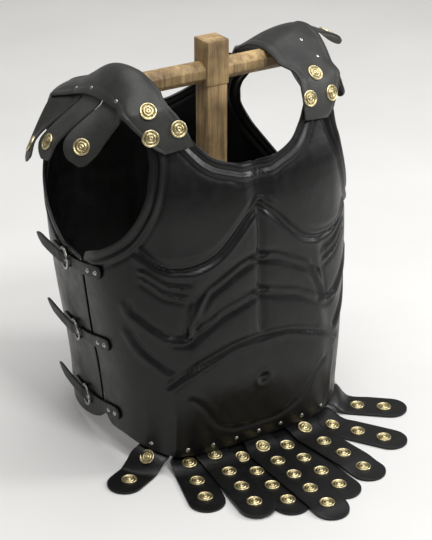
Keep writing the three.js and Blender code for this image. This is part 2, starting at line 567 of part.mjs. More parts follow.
STRIPS.forEach(([rivet, layer, fx, fy, heading, studs, hold], index) => {
  const dir = new THREE.Vector3(Math.cos(heading * RAD), Math.sin(heading * RAD), 0);
  const side = new THREE.Vector3(-dir.y, dir.x, 0);
  const first = new THREE.Vector3(fx * CHEST_WIDTH / 2, FRONT_Y + fy * CHEST_WIDTH / 2, 0);
  const onFloor = (d) => {
    const up = layer === 0 && hold > 0 ? UPPER * (1 - smooth((d - hold * STRIP_PITCH) / STRIP_LANDING)) : 0;
    return first.clone().addScaledVector(dir, d).setZ(STRIP_THICKNESS / 2 + up);
  };
  const run = (studs - 1) * STRIP_PITCH + STRIP_END;
  // path of the strip at a sideways offset w: up inside the rim, round its
  // lower edge, then out along the floor
  const base = torso(rivet, Z(0.04));
  const radius = Math.hypot(base.x, base.y - SEAM_Y);
  const step = layer * UPPER;
  const root = (w) => {
    const angle = rivet + w / radius / RAD * 0.9;
    const rim = rimHeight(angle);
    const inside = -(PLATE_THICKNESS + CLEAR + STRIP_THICKNESS / 2) - STRIP_SEAT - step * 1.4;
    const up = (off, z) => torso(angle, Math.max(z, STRIP_THICKNESS / 2), off);
    return [
      up(inside, rim + STRIP_ROOT),
      up(inside, rim + STRIP_ROOT * 0.4),
      up(inside - STRIP_SEAT * 1.25, rim),
      up(inside + STRIP_SEAT * 2, rim - RIM_TURN * 0.73 - step * 1.0),
      up(-STRIP_SEAT * 1.25, rim - RIM_TURN - step * 1.35),
    ];
  };
  const sample = (w) => {
    const points = root(w), last = points[points.length - 1];
    const line = (d) => onFloor(d).addScaledVector(side, w);
    const start = dir.dot(last.clone().sub(line(0)));        // rim, measured along the strip
    for (const k of [0.3, 0.65, 1]) {
      const q = line(start + STRIP_LANDING * k), fall = smooth(k);
      q.addScaledVector(side, side.dot(last.clone().sub(line(0))) * Math.pow(1 - k, 1.5));
      q.z = lerp(last.z, q.z, fall);
      points.push(q);
    }
    points.push(line(lerp(start + STRIP_LANDING, STRIP_PITCH, 0.6)), line(STRIP_PITCH));
    return pathThrough(points);
  };
  const lateral = 4, curves = [];
  for (let j = 0; j <= lateral; j++) curves.push(sample((j / lateral - 0.5) * STRIP_WIDTH));
  const rows = [], rootCells = 9;
  const floorRun = run - STRIP_PITCH - STRIP_WIDTH / 2;
  const floorCells = Math.max(1, Math.round(floorRun / STRIP_LANDING));
  for (let i = 0; i <= rootCells; i++) rows.push(curves.map((c) => c.getPointAt(i / rootCells)));
  const straight = run - STRIP_WIDTH / 2;
  for (let i = 1; i <= floorCells; i++) {
    const d = lerp(STRIP_PITCH, straight, i / floorCells);
    rows.push(curves.map((c, j) => onFloor(d).addScaledVector(side, (j / lateral - 0.5) * STRIP_WIDTH)));
  }
  for (const k of ROUND.slice(1)) {
    const wide = Math.sqrt(1 - k * k);
    const at = straight + STRIP_WIDTH / 2 * k;
    rows.push(curves.map((c, j) => onFloor(at).addScaledVector(side, (j / lateral - 0.5) * STRIP_WIDTH * wide)));
  }
  let strip = solid(sheet(rows, STRIP_THICKNESS));
  for (let k = 0; k < studs; k++) {
    const at = onFloor(k * STRIP_PITCH), normal = new THREE.Vector3(0, 0, 1);
    if (k === 0) {                // the first stud may sit on the slope
      const centre = curves[lateral / 2];
      let best = 1e9, where = 0;
      for (let i = 100; i <= 200; i++) {
        const q = centre.getPointAt(i / 200), d = Math.hypot(q.x - at.x, q.y - at.y);
        if (d < best) {
          best = d;
          where = i / 200;
        }
      }
      at.copy(centre.getPointAt(where));
      normal.copy(centre.getTangentAt(where).cross(side).normalize());
      if (normal.z < 0) normal.negate();
    }
    at.addScaledVector(normal, STRIP_THICKNESS / 2);
    strip = strip.add(solid(placed(studGeometry(STRIP_THICKNESS / 2), at, normal)));
  }
  piece(`skirt_strip_${index + 1}`, toGeometry(strip), strapLeather);
});

// Side straps and buckles
// Rows from the top: height shares at the rivets, at the buckle and at the tip.
const SIDE_ROWS = [
  ["top", 0.524, 0.500, 0.524],
  ["middle", 0.322, 0.292, 0.330],
  ["bottom", 0.118, 0.094, 0.132],
];
const wallAt = (y, z, off) => {  // point on the body's side at a distance behind the seam
  const half = halfWidthAt(z);
  let angle = 90 + Math.atan2(y, half) / RAD;
  for (let i = 0; i < 4; i++) {
    const p = torso(angle, z);
    angle = 90 + Math.atan2(y, p.x) / RAD;
  }
  return torso(angle, z, off);
};
for (const [place, zFront, zBuckle, zTip] of SIDE_ROWS) {
  for (const [side, mirror] of [["left", 1], ["right", -1]]) {
    const flip = (p) => p.setX(p.x * mirror);
    const rear = BUCKLE_BACK + BUCKLE_WIDTH / 2, fore = BUCKLE_BACK - BUCKLE_WIDTH / 2;
    const wire = BUCKLE_WIRE / 2;
    const low = CLEAR + BILLET_THICKNESS / 2 + SEAT;         // billet's middle on the plates
    const foreBar = low + BILLET_THICKNESS / 2 + CLEAR + wire + SEAT; // bar over the billet
    const rearBar = CLEAR + wire + SEAT;                      // hinge bar under it
    const over = rearBar + wire + CLEAR + BILLET_THICKNESS / 2 + 2 * SEAT;
    const zAt = (y) => Z(tableAt([[-BILLET_FRONT, zFront], [BUCKLE_BACK, zBuckle], [TIP_BACK, zTip]], y, 1));
    // billet: distance behind the seam, middle off the wall, share of width
    const front = (share) => -BILLET_FRONT * share;
    const frame = (share) => lerp(fore, rear, share);
    const tail = (share) => lerp(rear, TIP_BACK, share);
    const stations = [
      [front(1), low, 0.35],
      [front(0.93), low, 0.78],
      [front(0.81), low, 1],
      [front(0.5), low, 1],
      [front(0.2), low, 1],
      [fore * 0.32, low, 1],
      [fore * 0.81, low, 1],
      [fore, low, 1],
      [frame(0.24), low + SEAT, 1],
      [frame(0.6), lerp(low, over, 0.6), 1],
      [frame(0.81), over, 1],
      [tail(0.04), over + TIP_LIFT * 0.07, 1],
      [tail(0.31), over + TIP_LIFT * 0.33, 1],
      [tail(0.69), over + TIP_LIFT * 0.78, 0.95],
      [TIP_BACK, over + TIP_LIFT, 0.16],
    ];
    const rows = stations.map(([y, off, wide]) =>
      [-0.5, 0.5].map((w) => flip(wallAt(y, zAt(y) + w * BILLET_WIDTH * wide, off))));
    piece(`side_strap_${side}_${place}`, sheet(rows, BILLET_THICKNESS), strapLeather);

    // buckle frame: an oval of round wire, hinge bar low, front bar high
    const ring = [];
    for (let k = 0; k < 12; k++) {
      const a = k / 12 * 2 * Math.PI, y = BUCKLE_BACK - Math.cos(a) * BUCKLE_WIDTH / 2;
      const lift = lerp(rearBar, foreBar, 0.5 + 0.5 * Math.cos(a));
      ring.push(wallAt(y, zAt(BUCKLE_BACK) + Math.sin(a) * BUCKLE_HEIGHT / 2, lift));
    }
    const closed = new THREE.CatmullRomCurve3(ring, true);
    let body = ringSolid(closed, wire, 16, 5);
    // prong: leaves the billet behind its hole and rests on the front bar
    const prong = ringRod([
      wallAt(fore - wire * 0.6, zAt(BUCKLE_BACK), foreBar + wire * 0.7),
      wallAt(BUCKLE_BACK - wire * 1.9, zAt(BUCKLE_BACK), foreBar + wire * 1.5),
    ], wire * 0.6);
    body = body.add(prong);
    const buckle = toGeometry(body);
    if (mirror < 0) buckle.scale(-1, 1, 1);
    piece(`buckle_${side}_${place}`, outward(buckle), nickel);

    // chape: short strap behind the hinge bar, on the back plate
    const chape = [], chapeOff = CLEAR + CHAPE_THICKNESS / 2 + SEAT / 3;
    for (let k = 0; k <= 4; k++) {
      const y = lerp(rear + wire + CLEAR, rear + CHAPE_LENGTH, k / 4);
      const wide = k === 4 ? 0.6 : 1;
      const zChape = (w) => zAt(BUCKLE_BACK) + w * BILLET_WIDTH * wide;
      chape.push([-0.5, 0.5].map((w) => flip(wallAt(y, zChape(w), chapeOff))));
    }
    piece(`buckle_tab_${side}_${place}`, sheet(chape, CHAPE_THICKNESS), strapLeather);
  }
}

// Closed ring of round wire along a closed curve.
function ringSolid(curve, radius, steps, sides) {
  const points = curve.getSpacedPoints(steps).slice(0, steps), centre = new THREE.Vector3();
  points.forEach((p) => centre.add(p));
  centre.divideScalar(steps);
  const positions = [], index = [];
  points.forEach((p, i) => {
    const tangent = points[(i + 1) % steps].clone().sub(points[(i + steps - 1) % steps]).normalize();
    const out = p.clone().sub(centre);
    out.addScaledVector(tangent, -out.dot(tangent)).normalize();
    const bi = tangent.clone().cross(out);
    for (let k = 0; k < sides; k++) {
      const a = k / sides * 2 * Math.PI;
      const q = p.clone();
      q.addScaledVector(out, radius * Math.cos(a)).addScaledVector(bi, radius * Math.sin(a));
      positions.push(q.x, q.y, q.z);
      const n = (i + 1) % steps, l = (k + 1) % sides;
      index.push(i * sides + k, n * sides + k, n * sides + l, i * sides + k, n * sides + l, i * sides + l);
    }
  });
  const geometry = new THREE.BufferGeometry();
  geometry.setAttribute("position", new THREE.Float32BufferAttribute(positions, 3));
  geometry.setIndex(index);
  return solid(outward(geometry));
}
// Round rod between two points.
function ringRod([from, to], radius) {
  const length = from.distanceTo(to);
  const rod = new THREE.CylinderGeometry(radius, radius, length, 6);
  const direction = to.clone().sub(from).normalize();
  const q = new THREE.Quaternion().setFromUnitVectors(new THREE.Vector3(0, 1, 0), direction);
  const mid = from.clone().lerp(to, 0.5);
  return solid(rod.applyQuaternion(q).translate(mid.x, mid.y, mid.z));
}

// Stand
piece("stand_base", new THREE.BoxGeometry(BASE_SIDE, BASE_SIDE, BASE_THICKNESS), wood)
  .position.set(0, 0, BASE_THICKNESS / 2);

function bar(thickness, length) {   // eight-sided bar along X
  const shape = new THREE.Shape(), r = thickness / 2 / Math.cos(Math.PI / 8);
  for (let k = 0; k < 8; k++) {
    const a = (k + 0.5) * Math.PI / 4;
    if (k === 0) shape.moveTo(r * Math.cos(a), r * Math.sin(a));
    else shape.lineTo(r * Math.cos(a), r * Math.sin(a));
  }
  shape.closePath();
  const rod = new THREE.ExtrudeGeometry(shape, { depth: length, bevelEnabled: false });
  return rod.translate(0, 0, -length / 2).rotateY(Math.PI / 2);
}
const postLength = POST_TOP - BASE_THICKNESS;
const shaft = new THREE.BoxGeometry(POST_SIDE, POST_SIDE, postLength);
shaft.translate(0, 0, BASE_THICKNESS + postLength / 2);
const head = new THREE.BoxGeometry(HEAD_SIDE, HEAD_SIDE, HEAD_LENGTH);
head.translate(0, 0, POST_TOP - HEAD_LENGTH / 2);
const hole = bar(BAR_THICKNESS + 2 * FIT, HEAD_SIDE * 2).translate(0, 0, BAR_HEIGHT);
piece("stand_post", toGeometry(solid(shaft).add(solid(head)).subtract(solid(hole))), wood);
piece("stand_crossbar", bar(BAR_THICKNESS, BAR_LENGTH), wood).position.set(0, 0, BAR_HEIGHT);

export default model;
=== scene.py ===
"""Black moulded leather armour on a wooden stand, dressed over its solids. Metres, the front faces -Y."""
import bpy
import bmesh
import math
import numpy as np
from mathutils import Matrix, Vector


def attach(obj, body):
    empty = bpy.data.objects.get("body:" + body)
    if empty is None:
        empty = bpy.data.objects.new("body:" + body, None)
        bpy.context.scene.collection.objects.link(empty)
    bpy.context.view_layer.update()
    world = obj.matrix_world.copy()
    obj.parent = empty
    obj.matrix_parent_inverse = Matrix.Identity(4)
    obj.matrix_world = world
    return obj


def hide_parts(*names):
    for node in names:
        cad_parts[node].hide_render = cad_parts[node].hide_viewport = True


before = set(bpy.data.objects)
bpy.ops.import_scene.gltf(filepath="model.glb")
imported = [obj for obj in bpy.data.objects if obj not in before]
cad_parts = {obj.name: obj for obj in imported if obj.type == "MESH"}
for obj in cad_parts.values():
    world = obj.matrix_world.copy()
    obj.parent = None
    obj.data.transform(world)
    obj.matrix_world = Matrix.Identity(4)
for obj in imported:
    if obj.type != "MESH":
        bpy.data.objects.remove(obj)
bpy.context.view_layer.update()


# The view
# The camera stands in front of the wearer's right shoulder, 26 degrees above
# the floor and two metres away, with a long lens.
turn, rise, distance = math.radians(-32.15), math.radians(26.0), 2.0004
aim = Vector((0.0025, -0.0063, 0.2088))
back = Vector((math.sin(turn) * math.cos(rise), -math.cos(turn) * math.cos(rise), math.sin(rise)))
camera = bpy.data.objects.new("camera", bpy.data.cameras.new("camera"))
camera.data.lens = 103.99
camera.data.sensor_width = 36
camera.data.clip_start, camera.data.clip_end = 0.05, 60
camera.location = aim + back * distance
camera.rotation_euler = (-back).to_track_quat("-Z", "Y").to_euler()
bpy.context.scene.collection.objects.link(camera)
bpy.context.scene.camera = camera


def linear(code):
    """A hex colour as the shader's linear values."""
    parts = [int(code[k:k + 2], 16) / 255 for k in (1, 3, 5)]
    return tuple(c / 12.92 if c <= 0.04045 else ((c + 0.055) / 1.055) ** 2.4 for c in parts) + (1.0,)


def add(material, kind, links=(), **settings):
    """Adds one node: settings go on its properties or sockets, links come from other nodes' sockets."""
    tree = material.node_tree
    node = tree.nodes.new(kind)
    for key, value in settings.items():
        if key == "stops":
            # a colour ramp's (position, hex colour or grey value) stops
            while len(node.color_ramp.elements) < len(value):
                node.color_ramp.elements.new(0.5)
            for element, (where, tone) in zip(node.color_ramp.elements, value):
                element.position = where
                element.color = linear(tone) if isinstance(tone, str) else (tone, tone, tone, 1)
        elif hasattr(node, key):
            setattr(node, key, value)
        else:
            node.inputs[key.replace("_", " ")].default_value = value
    for source, out, into in links:
        tree.links.new(source.outputs[out], node.inputs[into])
    return node


def new_material(name):
    material = bpy.data.materials.new(name)
    material.use_nodes = True
    material.node_tree.nodes.clear()
    return material


# The studio
# A pale seamless sweep of painted board in a dim room. A large box light hangs
# over it, a small one above the front, and one stands at the picture's right.
board = new_material("pale painted board")
place = add(board, "ShaderNodeTexCoord")
mottle = add(board, "ShaderNodeTexNoise", [(place, "Object", "Vector")], Scale=3.0, Detail=3.0)
tint = add(board, "ShaderNodeValToRGB", [(mottle, "Fac", "Fac")], stops=[(0.3, "#dedddb"), (0.7, "#e4e3e1")])
skin = add(board, "ShaderNodeBsdfPrincipled", [(tint, "Color", "Base Color")], Roughness=0.85)
add(board, "ShaderNodeOutputMaterial", [(skin, "BSDF", "Surface")])

# half the width, whole length, start in front, level part, radius of the bend,
# and how far it lies below the foot
HALF_SWEEP, SWEEP_LENGTH, SWEEP_START, LEVEL, BEND, SUNK = 6, 9.0, 3.0, 2.6, 1.2, 0.0004
sweep = bmesh.new()
bmesh.ops.create_grid(sweep, x_segments=2, y_segments=60, size=1.0)
for vertex in sweep.verts:
    along = (vertex.co.y + 1) / 2 * SWEEP_LENGTH - SWEEP_START
    if along <= LEVEL:
        vertex.co = (vertex.co.x * HALF_SWEEP, along, -SUNK)
    elif along <= LEVEL + BEND * math.pi / 2:
        a = (along - LEVEL) / BEND
        vertex.co = (vertex.co.x * HALF_SWEEP, LEVEL + BEND * math.sin(a), BEND - BEND * math.cos(a) - SUNK)
    else:
        vertex.co = (vertex.co.x * HALF_SWEEP, LEVEL + BEND, BEND + along - LEVEL - BEND * math.pi / 2)
mesh = bpy.data.meshes.new("sweep")
sweep.to_mesh(mesh)
sweep.free()
floor = bpy.data.objects.new("sweep", mesh)
bpy.context.scene.collection.objects.link(floor)
mesh.materials.append(board)
for polygon in mesh.polygons:
    polygon.use_smooth = True

world = bpy.data.worlds.new("room")
world.use_nodes = True
world.node_tree.nodes["Background"].inputs["Color"].default_value = linear("#f4f4f2")
world.node_tree.nodes["Background"].inputs["Strength"].default_value = 0.20
bpy.context.scene.world = world
bpy.context.scene.view_settings.view_transform = "Standard"


def box_light(name, at, size, power, target=(0, 0, 0.25)):
    """A flat light of a size in metres and a power in watts, turned to its target."""
    light = bpy.data.lights.new(name, "AREA")
    light.shape, light.size, light.size_y, light.energy = "RECTANGLE", size[0], size[1], power
    lamp = bpy.data.objects.new(name, light)
    lamp.location = at
    lamp.rotation_euler = (Vector(target) - Vector(at)).to_track_quat("-Z", "Y").to_euler()
    bpy.context.scene.collection.objects.link(lamp)


box_light("overhead", (0.35, 0.3, 2.6), (3.0, 3.0), 65, (0.35, 0.3, 0))
box_light("front", (0.0, -1.35, 2.1), (0.45, 0.45), 19)
box_light("right", (1.9, -1.0, 1.4), (0.5, 0.8), 24)


# The front plate
# One piece of thick vegetable-tanned cowhide, wetted and pressed over a form
# so that chest, stomach and rib muscles stand out, then dyed black. A double
# roll is tooled along the neck and the armholes.
CHEST_WIDTH, FRONT_DEPTH, BACK_DEPTH, BODY_HEIGHT = 0.368, 0.130, 0.192, 0.500
SEAM_Y, PLATE_THICKNESS, SIDE_GAP, CLEAR = 0.0087, 0.0026, 0.006, 0.0006
PEC_RELIEF, PANEL_RELIEF = 0.006, 0.0035
# share of the height, shares of half the width, the front depth and the back
# depth, squareness in front and behind
SECTIONS = [
    (0.00, 0.842, 0.915, 0.979, 4.00, 3.00), (0.04, 0.848, 0.931, 0.979, 3.87, 3.00),
    (0.12, 0.859, 0.969, 0.977, 3.60, 3.00), (0.22, 0.886, 1.000, 0.979, 3.30, 3.05),
    (0.33, 0.929, 0.969, 0.984, 3.05, 3.10), (0.42, 0.957, 0.942, 0.990, 2.90, 3.15),
    (0.50, 0.978, 0.923, 0.995, 2.75, 3.20), (0.60, 0.989, 0.908, 1.000, 2.60, 3.25),
    (0.69, 1.000, 0.877, 0.977, 2.80, 3.40), (0.77, 1.000, 0.808, 0.935, 3.00, 3.40),
    (0.84, 0.995, 0.731, 0.823, 3.00, 3.30), (0.90, 0.978, 0.654, 0.695, 3.00, 3.20),
    (0.96, 0.951, 0.538, 0.547, 3.00, 3.20), (1.00, 0.935, 0.462, 0.450, 3.00, 3.20),
]


def read(table, key, column, slack=False):
    """Smooth curve through a table's rows. Slack keeps it from swinging past a row."""
    t = np.asarray(table, float)
    x, y = t[:, 0], t[:, column]
    key = np.clip(np.asarray(key, float), x[0], x[-1])
    i = np.clip(np.searchsorted(x, key, side="left") - 1, 0, len(x) - 2)
    before = np.maximum(np.arange(len(x)) - 1, 0)
    after = np.minimum(np.arange(len(x)) + 1, len(x) - 1)
    slope = (y[after] - y[before]) / (x[after] - x[before])
    if slack:
        step = np.diff(y) / np.diff(x)
        total, product = step[1:] + step[:-1], step[1:] * step[:-1]
        inner = np.where(product > 0, 2 * product / np.where(total == 0, 1, total), 0)
        slope = np.concatenate([step[:1], inner, step[-1:]])
    h = x[i + 1] - x[i]
    s = (key - x[i]) / h
    s2, s3 = s * s, s ** 3
    below = (2 * s3 - 3 * s2 + 1) * y[i] + (s3 - 2 * s2 + s) * h * slope[i]
    return below + (3 * s2 - 2 * s3) * y[i + 1] + (s3 - s2) * h * slope[i + 1]


def ease(t):
    """A smooth step from 0 to 1."""
    t = np.clip(t, 0, 1)
    return t * t * (3 - 2 * t)


def body(angle, z, off=0.0):
    """Points on the body at angles from the front centre, in degrees, and heights."""
    angle, z = np.broadcast_arrays(np.radians(np.asarray(angle, float)), np.asarray(z, float))
    k, s, c = z / BODY_HEIGHT, np.sin(angle), np.cos(angle)
    ahead = c >= 0
    a = read(SECTIONS, k, 1) * CHEST_WIDTH / 2 + off
    b = np.where(ahead, read(SECTIONS, k, 2) * FRONT_DEPTH, read(SECTIONS, k, 3) * BACK_DEPTH) + off
    n = np.where(ahead, read(SECTIONS, k, 4), read(SECTIONS, k, 5))
    r = (np.abs(s / a) ** n + np.abs(c / b) ** n) ** (-1 / n)
    return np.stack([r * s, SEAM_Y - r * c, z], -1)


def half_width(z):
    """Half the body's width at a height."""
    return float(read(SECTIONS, z / BODY_HEIGHT, 1)) * CHEST_WIDTH / 2


# Broad muscle forms: lower edge of the chest muscle and the stomach lines, as
# angle and share of the height.
PEC_LINE = [
    (0, 0.684), (10, 0.658), (20, 0.610), (30, 0.570), (43, 0.554), (54, 0.566), (64, 0.620), (90, 0.70),
]
STOMACH_LINES = [
    [(0, 0.540), (15, 0.532), (25, 0.510), (31, 0.490), (38, 0.464)],
    [(0, 0.452), (14, 0.440), (24, 0.424), (30, 0.412), (40, 0.362)],
    [(0, 0.322), (14, 0.316), (26, 0.305), (38, 0.284), (48, 0.245)],
    [(0, 0.080), (16, 0.082), (26, 0.110), (33, 0.165), (41, 0.208)],
]


def muscle_form(angle, z):
    """How far the chest muscles and the four stomach forms stand out."""
    a = np.abs(angle)
    pec = read(PEC_LINE, a, 1) * BODY_HEIGHT
    middle = ease((a - 1.5) / 9)
    top = 1 - ease((z - 0.73 * BODY_HEIGHT) / (0.12 * BODY_HEIGHT))
    outer = 1 - ease((a - 46) / 16)
    out = PEC_RELIEF * ease((z - pec + 0.004) / 0.020) * top * (0.25 + 0.75 * middle) * outer
    bounds = [pec] + [read(line, a, 1) * BODY_HEIGHT for line in STOMACH_LINES]
    side = 1 - ease((a - 36) / 8)
    for i in range(4):
        t = np.clip((bounds[i] - z) / (bounds[i] - bounds[i + 1]), 0, 1)
        depth = 0.35 + 0.65 * middle if i < 3 else 0.6
        out = out + PANEL_RELIEF * np.sin(np.pi * t) ** 0.7 * side * depth
    return out


# Tooled lines of one half, as angle in degrees and height in millimetres, each
# with its section: how far off the line (positive is above it), how high and how
# wide each roll is, in millimetres. A height below 0 is a groove.
CHEST_EDGE = [(2.8, 2.6, 3.6), (-3.9, -2.4, 4.1), (-10.3, 1.3, 3.8)]
DOUBLE_ROLL = [(0, 2.2, 3.2), (6.4, -1.2, 3.4), (-6.2, -1.9, 3.6)]
SIDE_GROOVE = [(0, -2.4, 4.1), (8, 1.6, 5.4)]
TOOLED = [
    # lower edge of the chest muscle
    (CHEST_EDGE, [(1, 344), (5, 336), (9, 329), (15, 316), (22, 299), (28, 287),
                  (34, 280), (41, 276), (48, 277), (53, 283), (57, 292), (62, 305)]),
    # stomach lines, from the top down
    (DOUBLE_ROLL, [(1.5, 272), (8, 270), (14, 266), (21, 258), (27, 250),
                   (32, 242), (35, 229), (38, 209), (40.5, 183)]),
    (DOUBLE_ROLL, [(2, 226), (8, 223), (16, 218), (24, 212), (30, 204), (36, 194), (42, 183), (50, 186)]),
    ([(4.1, -2.4, 4.1), (-3, 2.2, 4.3)],
     [(0, 161), (10, 161), (18, 159), (26, 153), (34, 145), (40, 136), (46, 124), (50, 113)]),
    ([(0, -2.6, 5), (5.8, 1.2, 5.4)],
     [(0, 40), (9, 40), (17, 43), (26, 55), (30, 70), (33, 83), (37, 97), (41, 104)]),
    # the line down the middle
    ([(0, -2.6, 4.3), (9.2, 0.7, 6), (-9.2, 0.7, 6)], [(0, 167), (0, 200), (0, 260), (0, 346)]),
    # ribs at the side
    ([(0, 2.0, 3.4), (-5.2, -0.9, 3.2), (5.8, -0.9, 3.6)],
     [(38, 248), (44, 251), (50, 256), (54, 264), (58, 272), (62, 277)]),
    ([(0, 1.9, 3.4), (-5.8, -1.6, 3.6)], [(40, 235), (44, 239), (50, 245), (54, 253), (58, 262), (61, 268)]),
    ([(0, 2, 3.4), (5.8, -1.4, 3.6), (-5.8, -1, 3.6)], [(38, 234), (39.5, 219), (40.3, 202), (40.5, 181)]),
    (SIDE_GROOVE, [(65, 238), (63, 221), (59, 213), (56, 205), (52, 197), (49, 190), (45, 186)]),
    (SIDE_GROOVE, [(66, 204), (64, 193), (62, 182), (59, 171), (56, 163), (52, 154), (49, 146), (45, 141)]),
    # a faint upright fold at the lower edge
    ([(0, 0.9, 3.6)], [(46.5, 112), (46, 80), (46, 50), (46, 20)]),
]
NECK_EDGE = [(0, 390), (10, 391), (14, 394), (28, 404), (38, 422), (46.5, 446), (52, 470)]
ARMHOLE_EDGE = [
    (96, 266), (87, 278), (77, 293), (66, 318), (59, 353), (57, 379),
    (57, 400), (58, 416), (59.5, 431), (61.5, 440), (63.5, 450), (66, 470),
]
# rolls and grooves along both edges: distance from the edge, height and width
FRONT_ROLLS = ((3.5, 0.9, 3.6), (9.5, -1.4, 2.6), (15.0, 2.0, 3.3), (21.0, -1.2, 3.4))
NAVEL_ANGLE, NAVEL_HEIGHT = 0.5, 0.108
# a tooled line runs out over its last 10 mm
RUN_OUT = 10


def whole_line(line):
    """A line that starts at the centre goes on to the other half, so that both halves meet there."""
    if line[0][0] > 2 or line[0][0] == line[1][0]:
        return line
    mirrored = [(-a, z) for a, z in line[1::-1]]
    return mirrored + (list(line) if line[0][0] > 0 else list(line[1:]))


def dense(points, count=70):
    """Many points, at even distances, on a smooth line through a few."""
    p = np.asarray(points, float)
    run = np.concatenate([[0], np.cumsum(np.hypot(np.diff(p[:, 0]) * 2.6, np.diff(p[:, 1])))])
    table = np.column_stack([run, p])
    at = np.linspace(0, run[-1], count)
    return np.column_stack([read(table, at, 1), read(table, at, 2)])


def off_line(points, line):
    """Distance from a line on the body, the same signed, positive above it or to its left, and
    the distances along it to both of its ends, all in millimetres."""
    q = dense(line)
    c = body(q[:, 0], q[:, 1] / 1000)
    seg, start = np.diff(c, axis=0), c[:-1]
    rel = points[:, None, :] - start[None]
    t = np.clip((rel * seg).sum(-1) / (seg * seg).sum(-1), 0, 1)
    away = rel - seg[None] * t[..., None]
    d = np.sqrt((away * away).sum(-1))
    k = d.argmin(1)
    row = np.arange(len(points))
    normal = start[k] * (1, 1, 0) - np.array((0, SEAM_Y, 0))
    side = (away[row, k] * np.cross(normal, seg[k])).sum(-1)
    steps = np.linalg.norm(seg, axis=1) * 1000
    before = np.concatenate([[0], np.cumsum(steps)])
    along = before[k] + t[row, k] * steps[k]
    return d[row, k] * 1000, np.where(side >= 0, 1, -1) * d[row, k] * 1000, along, before[-1] - along


def tooled_lines(angle, z):
    """Height of the tooled lines at points of the front plate, in metres."""
    points = body(np.abs(angle), z)
    out = np.zeros(len(points))
    for section, line in TOOLED:
        _, s, start, end = off_line(points, whole_line(line))
        fade = ease(np.minimum(start, end) / RUN_OUT)
        for off, high, wide in section:
            out += high * np.exp(-((s - off) / wide) ** 2) * fade
    # the rolls run out before the side seam, where the leather is flat
    seam_fade = 1 - ease((np.abs(angle) - 80) / 7)
    for edge in (NECK_EDGE, ARMHOLE_EDGE):
        d = off_line(points, whole_line(edge))[0]
        for off, high, wide in FRONT_ROLLS:
            out += high * np.exp(-((d - off) / wide) ** 2) * seam_fade
    navel = np.linalg.norm(points - body(NAVEL_ANGLE, NAVEL_HEIGHT), axis=1) * 1000
    out += -3.2 * np.exp(-(navel / 5) ** 2) + 1.3 * np.exp(-((navel - 9.5) / 3) ** 2)
    return out / 1000


# rows of the half plate: angle and share of the height at its inner and at its
# outer end, then how many steps follow. The rim's height follows its angle.
FRONT_ROWS = [
    (0, 0.030, 90, 0.090, 3), (0, 0.110, 90, 0.170, 4), (0, 0.300, 90, 0.345, 4),
    (0, 0.490, 90, 0.520, 1), (0, 0.530, 87, 0.556, 1), (0, 0.570, 77, 0.586, 2),
    (0, 0.630, 66, 0.636, 2), (0, 0.690, 59, 0.706, 2), (0, 0.735, 57, 0.758, 1),
    (0, 0.780, 57, 0.800, 1), (14, 0.788, 58, 0.832, 1), (28, 0.808, 59.5, 0.862, 1),
    (38, 0.844, 61.5, 0.880, 1), (46.5, 0.892, 63.5, 0.900, 0),
]
FRONT_RIM = [
    (0, 0.030), (30, 0.031), (47, 0.037), (58, 0.056), (71, 0.068), (82, 0.064), (86, 0.070), (90, 0.092),
]
NECK_SAG = 0.048


def plate_place(rows, rim, u, v, front):
    """Angle and height of a half plate's points, u from its centre line and neck to its side and
    armhole, v up. Rows near the neck sag between their ends so that their faces stay square to its
    edge."""
    keys, total = [], 0
    for row in rows:
        keys.append(total)
        total += row[4]
    table = [(k,) + row[:4] for k, row in zip(keys, rows)]
    at = v * keys[-1]
    a_in, z_in, a_out, z_out = (read(table, at, c, slack=True) for c in (1, 2, 3, 4))
    seam = np.degrees(np.arcsin(SIDE_GAP / 2 / (CHEST_WIDTH / 2 * read(SECTIONS, z_out, 1))))
    hold = np.clip(1 - np.abs(a_out - 90) / 3, 0, 1)
    a_out = a_out + (-seam if front else seam) * hold
    # columns stand at even distances round the body, closer than even angles at its corners
    degrees = np.linspace(0, 90, 91)
    ring = body(degrees if front else 180 - degrees, 0.5 * BODY_HEIGHT)
    arc = np.concatenate([[0], np.cumsum(np.linalg.norm(np.diff(ring, axis=0), axis=1))])
    inner, outer = (a_in, a_out) if front else (180 - a_in, 180 - a_out)
    start, end = np.interp(inner, degrees, arc), np.interp(outer, degrees, arc)
    reached = np.interp(start + (end - start) * u, arc, degrees) - inner
    u = np.clip(reached / np.maximum(np.minimum(outer, 90) - inner, 1e-6), 0, 1)
    angle = a_in + (a_out - a_in) * u
    split = max(k for k, row in zip(keys, rows) if row[0] == rows[0][0])
    low = np.clip((at - split + 5) / 5, 0, 1)
    high = np.clip((keys[-1] - at) / (keys[-1] - split), 0, 1)
    z = z_in + (z_out - z_in) * u - NECK_SAG * ease(np.minimum(low, high)) * 4 * u * (1 - u)
    straight = rows[0][1] + (rows[0][3] - rows[0][1]) * u
    follow = 1 - np.clip((z_in - rows[0][1]) / (rows[1][1] - rows[0][1]), 0, 1)
    z = z + (read(rim, angle, 1) - straight) * follow
    return angle, z * BODY_HEIGHT


